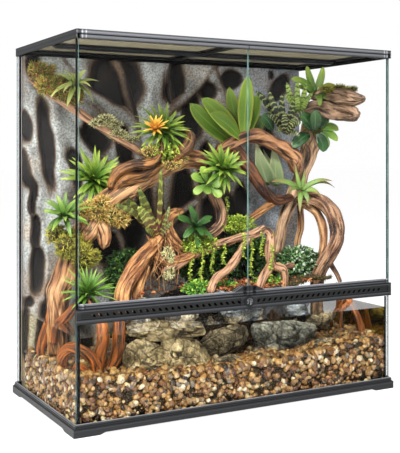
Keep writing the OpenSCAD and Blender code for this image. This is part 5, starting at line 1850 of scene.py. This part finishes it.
    def top(self) -> None:
        """The weathered logs at the top right."""
        assemble("top_log_wood", Wood.WEATHERED, (
            Limb(((372, 25, 800), (396, -10, 806), (410, -60, 800), (414, -110, 790), (414, -158, 786)),
                 (18, 26, 26, 22, 12), strands=5, groove=0.28, knot=0.2, twist=0.02, seed=22),
            Limb(((330, 45, 735), (352, 30, 758), (382, 0, 764), (408, -50, 756), (412, -105, 748),
                  (404, -140, 742)),
                 (14, 22, 28, 28, 24, 14), strands=5, groove=0.28, knot=0.2, twist=0.03, seed=23),
        ), ("top_driftwood",))

    def loop(self) -> None:
        """The grooved loop at the right and the thin legs beside it."""
        assemble("loop_wood", Wood.LOOP, (
            Limb(((340, 62, 500), (366, 20, 508), (392, -20, 486), (404, -46, 440), (404, -50, 395),
                  (388, -38, 350),
                  (368, -20, 305), (364, -5, 262), (368, 0, 205), (366, 0, 130)),
                 (16, 20, 22, 22, 22, 20, 19, 18, 16, 14), strands=6, groove=0.26, knot=0.18, twist=0.03,
                 seed=24),
            Limb(((396, -24, 335), (412, -14, 312), (424, -22, 288), (432, -30, 262)), (7, 7, 6, 5), seed=25),
        ), ("loop_driftwood",))
        assemble("loop_inner_wood", Wood.TAN, (
            Limb(((350, 55, 494), (386, 28, 466), (396, 8, 420), (392, 0, 372), (380, 0, 330)),
                 (11, 12, 12, 11, 9),
                 groove=0.2, seed=26),
            Limb(((356, 66, 494), (368, 78, 420), (360, 86, 368), (356, 88, 262)), (10, 10, 9, 8), groove=0.2,
                 seed=27),
        ))

    def roots(self) -> None:
        """The wet roots under water at both ends."""
        assemble("left_root_wood", Wood.WET, (
            Limb(((-352, -118, 105), (-356, -120, 145), (-340, -110, 185), (-340, -92, 240),
                  (-355, -67, 284)),
                 (12, 15, 14, 11, 9), groove=0.26, twist=0.2, seed=28),
            Limb(((-334, -112, 108), (-308, -110, 142), (-296, -100, 178), (-286, -84, 240),
                  (-276, -62, 262)),
                 (14, 15, 14, 12, 12), groove=0.26, twist=0.2, seed=29),
            Limb(((-420, -60, 108), (-428, -72, 146), (-418, -88, 170), (-400, -110, 170), (-380, -128, 156),
                  (-368, -138, 130), (-366, -138, 100)), (13, 14, 14, 14, 13, 12, 11), strands=6, groove=0.2,
                 twist=0.3, seed=30),
            Limb(((-408, -112, 108), (-410, -126, 134), (-392, -136, 118), (-388, -140, 96)), (10, 11, 10, 9),
                 groove=0.24, seed=31),
            Limb(((-398, 70, 260), (-402, 84, 210), (-416, 94, 172), (-424, 100, 136), (-420, 100, 98)),
                 (12, 13, 12, 11, 9), groove=0.24, seed=32),
            Limb(((-376, -20, 262), (-392, -8, 234), (-408, 20, 208), (-412, 40, 160)), (10, 11, 10, 9),
                 groove=0.24,
                 seed=33),
        ), ("left_roots",))
        assemble("right_root_wood", Wood.WET, (
            Limb(((424, -22, 262), (430, -20, 210), (406, -20, 160), (418, -22, 96)), (5, 5, 5, 4), seed=34),
            Limb(((420, -34, 262), (424, -40, 215), (418, -50, 146), (420, -58, 96)), (6, 6, 5, 4), seed=35),
            Limb(((404, -40, 262), (424, -68, 226), (427, -104, 190), (430, -124, 146), (430, -146, 100)),
                 (9, 10, 10, 11, 10), groove=0.2, seed=36),
        ), ("right_roots",))


# ---------- moss and lichen ----------


@dataclass(frozen=True)
class Cushion:
    """A cushion of moss: middle, size, number and length of its wisps, and its finish."""

    name: str
    at: Point
    size: Point
    wisps: int
    long: float
    finish: Small
    seed: int
    lobes: int = 6
    lean: float = 0
    lift: float = 0.35

    def grow(self) -> tuple[Heap, Heap]:
        """Returns the lobes, painted dark as the shade inside the cushion, and the wisps that cover them."""
        rng = np.random.default_rng(self.seed + 500)
        core, tufts = Heap(), Heap()
        form, faces = rock_form(4)
        along_branch = np.array([math.cos(math.radians(self.lean)), 0, -math.sin(math.radians(self.lean))])
        share = self.wisps // self.lobes
        for lobe in range(self.lobes):
            half = np.array(self.size) / 2 * rng.uniform(0.34, 0.6, 3)
            middle = np.array(self.at) + rng.uniform(-0.34, 0.34, 3) * self.size * [0.3, 1, 1]
            middle = middle + along_branch * (lobe / max(1, self.lobes - 1) - 0.5) * self.size[0] * 0.75
            bumps = 0.85 + 0.32 * lumps(form * half + lobe * 91.0, 14, self.seed, 2)
            points = form * half * bumps[:, None]
            core.add(points + middle, faces, points * MM, np.clip(0.5 + lumps(points, 8, self.seed), 0, 0.99))
            out = unit(rng.normal(size=(share, 3)))
            bumps = 0.85 + 0.32 * lumps(out * half + lobe * 91.0, 14, self.seed, 2)
            root = out * half * bumps[:, None] * 0.9 + middle
            aim = out + rng.normal(size=out.shape) * 0.5 + [0, -0.15, self.lift]
            sizes = rng.uniform(0.5, 1.3, share) * self.long
            tufts.scatter(wisp((-0.3, 0.15, 0.45)[lobe % 3]), root, frames_towards(aim, sizes, rng),
                          rng.uniform(0, 0.99, share))
        return core, tufts


@dataclass
class Moss:
    """Cushions of moss and lichen on the wood."""

    def build(self) -> None:
        """Grows every cushion."""
        cushions = (
            Cushion("upper_left_moss", (-370, 128, 816), (120, 50, 58), 3000, 18, Small.WIRY_MOSS, 1, 6, 20),
            Cushion("lichen_patch", (-226, 100, 700), (132, 34, 34), 2200, 9, Small.LICHEN, 2, 9, 32),
            Cushion("straw_moss", (-292, 16, 490), (112, 60, 74), 3000, 13, Small.STRAW_MOSS, 3, 7, 15),
            Cushion("olive_moss", (-376, 0, 400), (116, 66, 88), 3600, 13, Small.OLIVE_MOSS, 4, 9, 10),
            Cushion("log_moss", (402, -50, 822), (92, 90, 26), 1800, 8, Small.OLIVE_MOSS, 5, 6),
            Cushion("trunk_moss", (404, 50, 716), (62, 52, 58), 1400, 9, Small.OLIVE_MOSS, 6, 5),
            Cushion("ground_moss", (300, -30, 280), (150, 78, 22), 1600, 8, Small.BROWN_MOSS, 7, 8),
            Cushion("beard_high", (-132, -38, 372), (22, 16, 46), 500, 9, Small.LICHEN, 11, 3, 0, -0.5),
            Cushion("beard_low", (-130, -40, 330), (18, 14, 46), 420, 8, Small.LICHEN, 12, 3, 0, -0.5),
            Cushion("cup_moss", (-110, 14, 626), (100, 50, 44), 1600, 10, Small.STRAW_MOSS, 8, 6, 20),
        )
        for number, cushion in enumerate(cushions):
            core, tufts = cushion.grow()
            core.piece(cushion.name + "_core", Small.MOSS_SHADE.value,
                       ("moss_patches",) if number == 0 else ())
            tufts.piece(cushion.name, cushion.finish.value)


# ---------- plants ----------


@dataclass(frozen=True)
class Foliage:
    """A mass of small leaves in a rounded space: its middle, size, number and length of leaves."""

    at: Point
    size: Point
    count: int
    leaf: float
    seed: int
    shell: float = 0.55

    def grow(self, heap: Heap) -> None:
        """Adds the leaves to a heap, most of them near the outside and looking out."""
        rng = np.random.default_rng(self.seed + 900)
        out = unit(rng.normal(size=(self.count, 3)))
        depth = self.shell + (1 - self.shell) * rng.uniform(0, 1, self.count) ** 0.6
        clump = 1 + 0.22 * lumps(out * 60 + self.seed * 31.0, 24, self.seed, 2)
        places = out * (depth * clump)[:, None] * np.array(self.size) / 2 + np.array(self.at)
        aim = out + rng.normal(size=out.shape) * 0.7
        up = unit(out * 0.7 + [-0.1, -0.35, 0.8] + rng.normal(size=out.shape) * 0.5)
        sizes = self.leaf * rng.uniform(0.6, 1.25, self.count)
        heap.scatter(small_leaf()[0], places, frames_facing(aim, up, sizes), rng.uniform(0, 0.99, self.count),
                     small_leaf()[1])


@dataclass
class Plants:
    """Everything that grows."""

    def build(self) -> None:
        """Grows every plant."""
        self.rosettes()
        self.left_side()
        self.bromeliads()
        self.broad()
        self.right_side()
        self.striped()
        self.foliage()
        self.vines()

    def rosettes(self) -> None:
        """The bright rosettes at the left and in the centre."""
        assemble("lime_rosette_leaves", Greens.LIME, (
            Rosette((-282, 100, 563), (-0.1, -0.85, 0.5), 46, 94, 14, 86, 0, 42, Outline.LANCE, 0.4, 1),
        ), ("lime_rosette",))
        assemble("centre_rosette_leaves", Greens.LIME, (
            Rosette((54, 6, 590), (0, -0.8, 0.58), 44, 80, 14, 86, -2, 42, Outline.LANCE, 0.4, 2),
        ), ("centre_rosettes",))
        assemble("cup_rosette_leaves", Greens.GREEN, (
            Rosette((8, 2, 554), (-0.15, -0.9, 0.45), 9, 60, 27, 58, 4, 40, Outline.SPOON, 0.3, 3),
        ))

    def left_side(self) -> None:
        """Air plant, leafy plants and grass at the left."""
        assemble("air_plant_leaves", Greens.AIR, (
            Rosette((-335, 96, 812), (0, -0.6, 0.8), 15, 72, 17, 80, -25, 100, Outline.GRASS, 0.5, 4),
        ), ("air_plant",))
        assemble("left_leafy_plant", Greens.GREEN, (
            Rosette((-394, 6, 478), (-0.3, -0.5, 0.8), 22, 76, 14, 80, -5, 60, Outline.LANCE, 0.4, 5),
        ), ("leafy_plants",))
        assemble("grass_tuft", Greens.GRASS, (
            Rosette((-362, -62, 288), (0, -0.45, 0.9), 46, 82, 9, 88, 8, 40, Outline.GRASS, 0.4, 6),
        ), ("grass_plants",))
        assemble("hook_leafy_plant", Greens.SHADE, (
            Rosette((-40, -18, 440), (0.1, -0.7, 0.7), 12, 64, 21, 75, -5, 50, Outline.OVAL, 0.3, 7),
        ))

    def bromeliads(self) -> None:
        """The red and the flowering bromeliads."""
        assemble("red_bromeliad_leaves", Greens.RED, blades(Outline.STRAP, (
            ((-148, -6, 418), (-137, -8, 600), 15, (8, -6, 0), 0.6),
            ((-150, -6, 418), (-268, -10, 506), 20, (6, -10, 30), 0.4),
            ((-148, -10, 416), (-212, -30, 502), 32, (-8, -12, 14), 0.95),
            ((-146, -4, 416), (-186, 20, 548), 26, (-4, 0, 6), 0.25),
            ((-144, -8, 416), (-112, -12, 500), 12, (6, -8, 10), 0.5),
            ((-144, -8, 414), (-118, -34, 458), 13, (4, -10, 10), 0.4),
            ((-150, -8, 414), (-190, -28, 440), 17, (-4, -12, 14), 0.5),
            ((-150, 0, 418), (-240, 30, 530), 26, (0, 0, 26), 0.2),
        )), ("red_bromeliad",))
        assemble("flowering_bromeliad_leaves", Greens.LIME, (
            Rosette((-112, 40, 690), (0.15, -0.7, 0.7), 58, 92, 11, 86, -12, 48, Outline.LANCE, 0.4, 8),
        ), ("flowering_bromeliad",))
        assemble("bromeliad_flower", Greens.FLOWER, (
            Rosette((-156, -14, 700), (-0.25, -0.6, 0.8), 24, 40, 9, 88, 5, 8, Outline.LANCE, 0.4, 9),
        ))

    def broad(self) -> None:
        """The plant with broad leaves at the top of the middle."""
        assemble("broad_plant_leaves", Greens.BROAD, blades(Outline.OVAL, (
            ((140, 52, 655), (2, 92, 776), 54, (-14, 0, -6), 0.45),
            ((146, 54, 668), (27, 70, 790), 50, (6, 0, 16), 0.7),
            ((148, 46, 668), (27, 22, 744), 52, (0, -10, 18), 0.62, (-0.4, -0.75, 0.55)),
            ((150, 60, 680), (128, 88, 826), 36, (-8, 0, 0), 0.7),
            ((152, 48, 672), (159, 36, 856), 44, (-8, -6, 0), 0.95),
            ((156, 58, 676), (202, 52, 806), 46, (6, 0, 0), 0.5, (-0.7, -0.65, 0.3)),
            ((150, 62, 680), (108, 84, 764), 40, (-4, 0, 6), 0.1),
            ((154, 66, 672), (176, 100, 800), 44, (4, 0, 0), 0.15),
            ((140, 66, 660), (60, 120, 742), 46, (0, 0, 14), 0.2),
            ((160, 60, 668), (232, 70, 744), 40, (8, 0, 12), 0.2),
        )), ("broadleaf_plant",))
        assemble("pale_plant_leaves", Greens.PALE, blades(Outline.FAN, (
            ((250, 74, 544), (204, 70, 676), 54, (-12, -6, 0), 0.6),
            ((274, 72, 540), (258, 66, 672), 46, (4, -8, 0), 0.75),
            ((272, 76, 542), (236, 80, 650), 40, (8, 0, 0), 0.3),
        ), 0.5))

    def right_side(self) -> None:
        """The thin arching plant and the plants at the top right."""
        assemble("thin_plant_leaves", Greens.THIN, blades(Outline.GRASS, (
            ((310, -4, 528), (420, -20, 536), 15, (0, -4, 46), 0.4),
            ((310, -4, 530), (404, -30, 556), 14, (0, -6, 30), 0.7),
            ((308, -4, 530), (204, -8, 556), 18, (0, -6, 26), 0.6),
            ((308, -6, 528), (282, -40, 466), 16, (-10, -14, 16), 0.65),
            ((312, -6, 528), (314, -34, 482), 16, (4, -16, 14), 0.45),
            ((310, -4, 532), (288, -6, 612), 12, (-4, 0, 0), 0.8),
            ((312, -4, 532), (322, -8, 596), 12, (4, 0, 0), 0.5),
            ((314, -4, 530), (366, -26, 512), 16, (4, -8, 22), 0.9),
            ((306, -4, 530), (250, -22, 520), 14, (0, -6, 26), 0.3),
        )))
        assemble("top_plant_leaves", Greens.BRIGHT, blades(Outline.STRAP, (
            ((362, 0, 812), (332, -2, 888), 22, (-6, 0, 0), 0.3),
            ((366, 0, 812), (390, -2, 888), 22, (8, 0, 0), 0.55),
            ((360, 0, 808), (276, -4, 846), 22, (0, -4, 26), 0.4),
            ((370, -4, 808), (432, -12, 828), 20, (0, -4, 26), 0.6),
            ((364, -6, 806), (352, -36, 770), 18, (0, -14, 8), 0.35),
            ((368, -6, 806), (388, -38, 786), 18, (0, -14, 8), 0.3),
            ((360, 4, 806), (310, 20, 826), 18, (0, 0, 18), 0.2),
        )), ("top_plants",))
        assemble("dark_plant_leaves", Greens.DARK, blades(Outline.OVAL, (
            ((356, 4, 700), (300, -14, 742), 40, (0, -8, 18), 0.75),
            ((362, 0, 700), (336, -34, 760), 36, (0, -8, 6), 0.9),
            ((350, 6, 692), (284, 4, 650), 36, (0, -8, 16), 0.4),
            ((366, 0, 696), (380, -16, 640), 34, (10, -10, 0), 0.3),
            ((232, 20, 700), (184, 6, 742), 38, (0, -6, 12), 0.6),
            ((372, 2, 706), (392, -20, 764), 30, (6, 0, 0), 0.35),
        )))
        assemble("edge_plant_leaves", Greens.GREEN, blades(Outline.OVAL, (
            ((384, 0, 708), (438, -14, 704), 26, (0, -4, 14), 0.8),
            ((386, 0, 702), (428, -20, 672), 24, (6, -4, 8), 0.6),
            ((382, 2, 704), (402, -10, 748), 22, (4, 0, 0), 0.4),
            ((380, 0, 700), (392, -20, 650), 24, (6, -4, 0), 0.3),
        )))

    def striped(self) -> None:
        """The two striped bromeliads."""
        assemble("striped_bromeliad_leaves", Greens.STRIPED, blades(Outline.STRAP, (
            ((262, 20, 700), (178, 28, 812), 20, (-8, 0, 34), 0.5),
            ((264, 18, 700), (212, 10, 812), 20, (-10, 0, 14), 0.8),
            ((266, 18, 700), (250, 4, 806), 20, (-6, -4, 0), 0.6),
            ((268, 18, 700), (290, 2, 790), 20, (8, -4, 0), 0.9),
            ((268, 16, 698), (322, -8, 758), 20, (4, -8, 20), 0.6),
            ((262, 16, 696), (196, -2, 742), 20, (-2, -8, 26), 0.5),
            ((264, 12, 694), (240, -24, 752), 20, (-6, -14, 10), 0.8),
            ((268, 12, 694), (296, -26, 722), 19, (0, -14, 20), 0.65),
            ((262, 14, 692), (218, -20, 694), 18, (0, -10, 20), 0.5),
            ((266, 10, 694), (268, -34, 736), 20, (2, -14, 8), 0.95),
            ((268, 12, 692), (288, -30, 684), 17, (0, -12, 14), 0.4),
        )), ("striped_bromeliads",))
        assemble("banded_bromeliad_leaves", Greens.BANDED, blades(Outline.STRAP, (
            ((312, 20, 752), (268, 6, 838), 17, (-8, 0, 10), 0.9),
            ((314, 18, 752), (298, -4, 846), 17, (-4, -6, 0), 0.7),
            ((314, 18, 752), (328, -6, 838), 17, (4, -6, 0), 0.85),
            ((314, 18, 750), (352, -4, 812), 16, (6, -4, 12), 0.6),
            ((310, 18, 750), (256, -2, 800), 17, (-4, -6, 20), 0.8),
            ((312, 16, 748), (284, -20, 796), 16, (-2, -12, 10), 0.95),
            ((314, 14, 748), (318, -26, 790), 16, (2, -12, 8), 0.75),
        )))

    def foliage(self) -> None:
        """Shrubs and ground cover of small leaves."""
        assemble("shrub_leaves", Small.SHADE_LEAVES, (
            Foliage((-202, 70, 320), (112, 92, 124), 1500, 12, 1),
            Foliage((150, 70, 340), (250, 70, 130), 2400, 15, 2, 0.3),
            Foliage((10, 50, 330), (140, 60, 90), 1000, 13, 3, 0.3),
        ), ("shrubs",))
        assemble("feathery_shrub_leaves", Small.FEATHER_LEAVES, (
            Foliage((326, 30, 316), (140, 92, 96), 1500, 15, 4, 0.4),
        ))
        assemble("ground_cover_leaves", Small.GROUND_LEAVES, (
            Foliage((-52, -66, 286), (92, 40, 34), 520, 10, 5, 0.2),
            Foliage((40, -50, 284), (70, 40, 20), 240, 9, 6, 0.2),
            Foliage((170, -40, 286), (90, 60, 26), 340, 9, 7, 0.2),
        ))
        assemble("gold_creeper_leaves", Small.GOLD_LEAVES, (
            Foliage((-25, -20, 392), (110, 46, 50), 900, 9, 8, 0.2),
            Foliage((110, 10, 440), (110, 50, 50), 500, 10, 9, 0.2),
            Foliage((-120, 20, 640), (120, 60, 40), 380, 10, 10, 0.2),
        ))

    def vines(self) -> None:
        """The strands that hang from the branches."""
        rng = np.random.default_rng(77)
        stems, leaves = Heap(), Heap()
        for (x, y, z), long in (((-60, -32, 405), 110), ((-30, -36, 400), 130), ((5, -30, 392), 78),
                                ((40, -30, 398), 60), ((95, -44, 425), 70), ((128, -30, 414), 114),
                                ((160, -32, 426), 70), ((190, -38, 418), 60), ((172, -62, 392), 104),
                                ((84, 30, 520), 74)):
            course = Course.through(((x, y, z), (x + 4, y, z - long * 0.35), (x - 4, y - 3, z - long * 0.7),
                                     (x + 3, y, z - long)), (1.2, 1.1, 1.0, 0.7), 5)
            course.wrap(stems, 5, 0, 0.1, 1, 0, int(long))
            count = int(long / 2.2)
            places = course.centre[np.linspace(1, len(course.run) - 1, count).astype(int)]
            side = np.where(np.arange(count) % 2 == 0, 1, -1)[:, None]
            aim = side * np.array([0.8, -0.2, 0]) + rng.normal(size=(count, 3)) * 0.35 + [0, -0.2, -0.25]
            up = rng.normal(size=(count, 3)) * 0.4 + [-0.3, -0.6, 0.6]
            leaves.scatter(small_leaf()[0], places, frames_facing(aim, up, rng.uniform(6, 10, count)),
                           rng.uniform(0.2, 0.99, count), small_leaf()[1])
        stems.piece("vine_stems", Greens.VINE.value, ("trailing_vines",))
        leaves.piece("vine_leaves", Small.GOLD_LEAVES.value)


# ---------- water and studio ----------


@dataclass
class Water:
    """The water part: a still body up to the waterline, drawn up a little at the panes."""

    level: float = 220.0
    rim: float = 5.0
    rise: float = 1.6

    def build(self) -> None:
        """Fills the tank."""
        low = Vector((-INSIDE.half + 0.3, INSIDE.front + 0.3, INSIDE.floor + 0.3))
        high = Vector((INSIDE.half - 0.3, INSIDE.back - 0.4, self.level))
        deselect()
        bpy.ops.mesh.primitive_cube_add(size=1, location=(low + high) / 2 * MM, scale=(high - low) * MM)
        body = bpy.context.object
        body.name = body.data.name = "water_body"
        bpy.ops.object.transform_apply(location=True, rotation=True, scale=True)
        for face in body.data.polygons:
            face.select = face.normal.z > 0.5
        bpy.ops.object.mode_set(mode="EDIT")
        bpy.ops.mesh.select_mode(type="FACE")
        bpy.ops.mesh.inset(thickness=self.rim * MM, depth=-self.rise * MM)
        bpy.ops.object.mode_set(mode="OBJECT")
        dress(body, Pondwater("pond_water", "clear_glass"))


@dataclass
class Studio:
    """Floor, lights, white surroundings and the camera."""

    lens: float = 72.2
    shift: tuple[float, float] = (-0.0177, -0.1596)
    eye: Point = (-1.181, -2.141, 0.634)
    heading: float = -29.08

    def build(self) -> None:
        """Sets up everything round the object."""
        self.floor()
        self.surroundings()
        self.light("key_light", (-1.3, -2.0, 2.3), (0, 0, 0.4), 0.55, 120)
        self.light("top_light", (-0.3, -0.5, 2.2), (0, 0, 0.4), 1.2, 40)
        self.light("fill_light", (2.0, -1.6, 1.0), (0, 0, 0.4), 1.8, 4)
        self.light("left_light", (-2.7, -0.5, 1.5), (-0.2, 0, 0.2), 1.0, 34)
        lens = bpy.data.cameras.new("camera")
        lens.lens = self.lens
        lens.sensor_width = 36
        lens.shift_x, lens.shift_y = self.shift
        camera = bpy.data.objects.new("camera", lens)
        camera.location = self.eye
        camera.rotation_euler = (math.pi / 2, 0, math.radians(self.heading))
        bpy.context.scene.collection.objects.link(camera)
        bpy.context.scene.camera = camera
        bpy.context.scene.view_settings.view_transform = "Standard"

    @staticmethod
    def light(name: str, place: Point, aim: Point, size: float, power: float) -> None:
        """Hangs one soft light.

        Args:
            name: Its name.
            place: Where it hangs, in metres.
            aim: What it points at.
            size: Width of its square face.
            power: Its power in watts.
        """
        lamp = bpy.data.lights.new(name, "AREA")
        lamp.size = size
        lamp.energy = power
        hung = bpy.data.objects.new(name, lamp)
        hung.location = place
        hung.rotation_euler = (Vector(aim) - Vector(place)).to_track_quat("-Z", "Y").to_euler()
        bpy.context.scene.collection.objects.link(hung)

    @staticmethod
    def floor() -> None:
        """Lays the pale floor, which looks white and keeps the object's shadow."""
        deselect()
        bpy.ops.mesh.primitive_plane_add(size=60)
        ground = bpy.context.object
        ground.name = "floor"
        made = bpy.data.materials.new("pale_floor")
        made.use_nodes = True
        made.node_tree.nodes.clear()
        add = partial(add_node, made.node_tree)
        path = add("LightPath")
        matt = add("BsdfDiffuse", sockets={"Color": linear("#f8f8f7")})
        white = add("Emission", sockets={"Color": (1, 1, 1, 1), "Strength": 1.24})
        share = add("Math", "MULTIPLY", {0: path.outputs["Is Camera Ray"], 1: 0.74})
        both = add("MixShader", sockets={0: share, 1: matt, 2: white})
        add("OutputMaterial", sockets={"Surface": both})
        ground.data.materials.append(made)

    @staticmethod
    def surroundings() -> None:
        """Makes the world white to the eye, in mirrors and through glass, and dimmer as a light."""
        world = bpy.data.worlds.new("studio")
        bpy.context.scene.world = world
        world.use_nodes = True
        world.node_tree.nodes.clear()
        add = partial(add_node, world.node_tree)
        path = add("LightPath")
        mirrored = add("Math", "MULTIPLY_ADD", {0: path.outputs["Is Glossy Ray"], 1: 0.3, 2: 0.3})
        strength = add("Math", "MULTIPLY_ADD", {0: path.outputs["Is Camera Ray"], 1: 0.7, 2: mirrored})
        sky = add("Background", sockets={"Color": (1, 1, 1, 1), "Strength": strength})
        add("OutputWorld", sockets={"Surface": sky})


def main() -> None:
    """Builds the terrarium's looks and its studio in order."""
    logging.basicConfig(level=logging.INFO, format="%(name)s %(message)s")
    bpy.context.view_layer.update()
    for part in (Enclosure(), Background(), Gravel(), Ground(), Driftwood(), Moss(), Plants(), Water(),
                 Studio()):
        part.build()
        log.info("built %s", type(part).__name__)
    deselect()


if __name__ == "__main__":
    main()
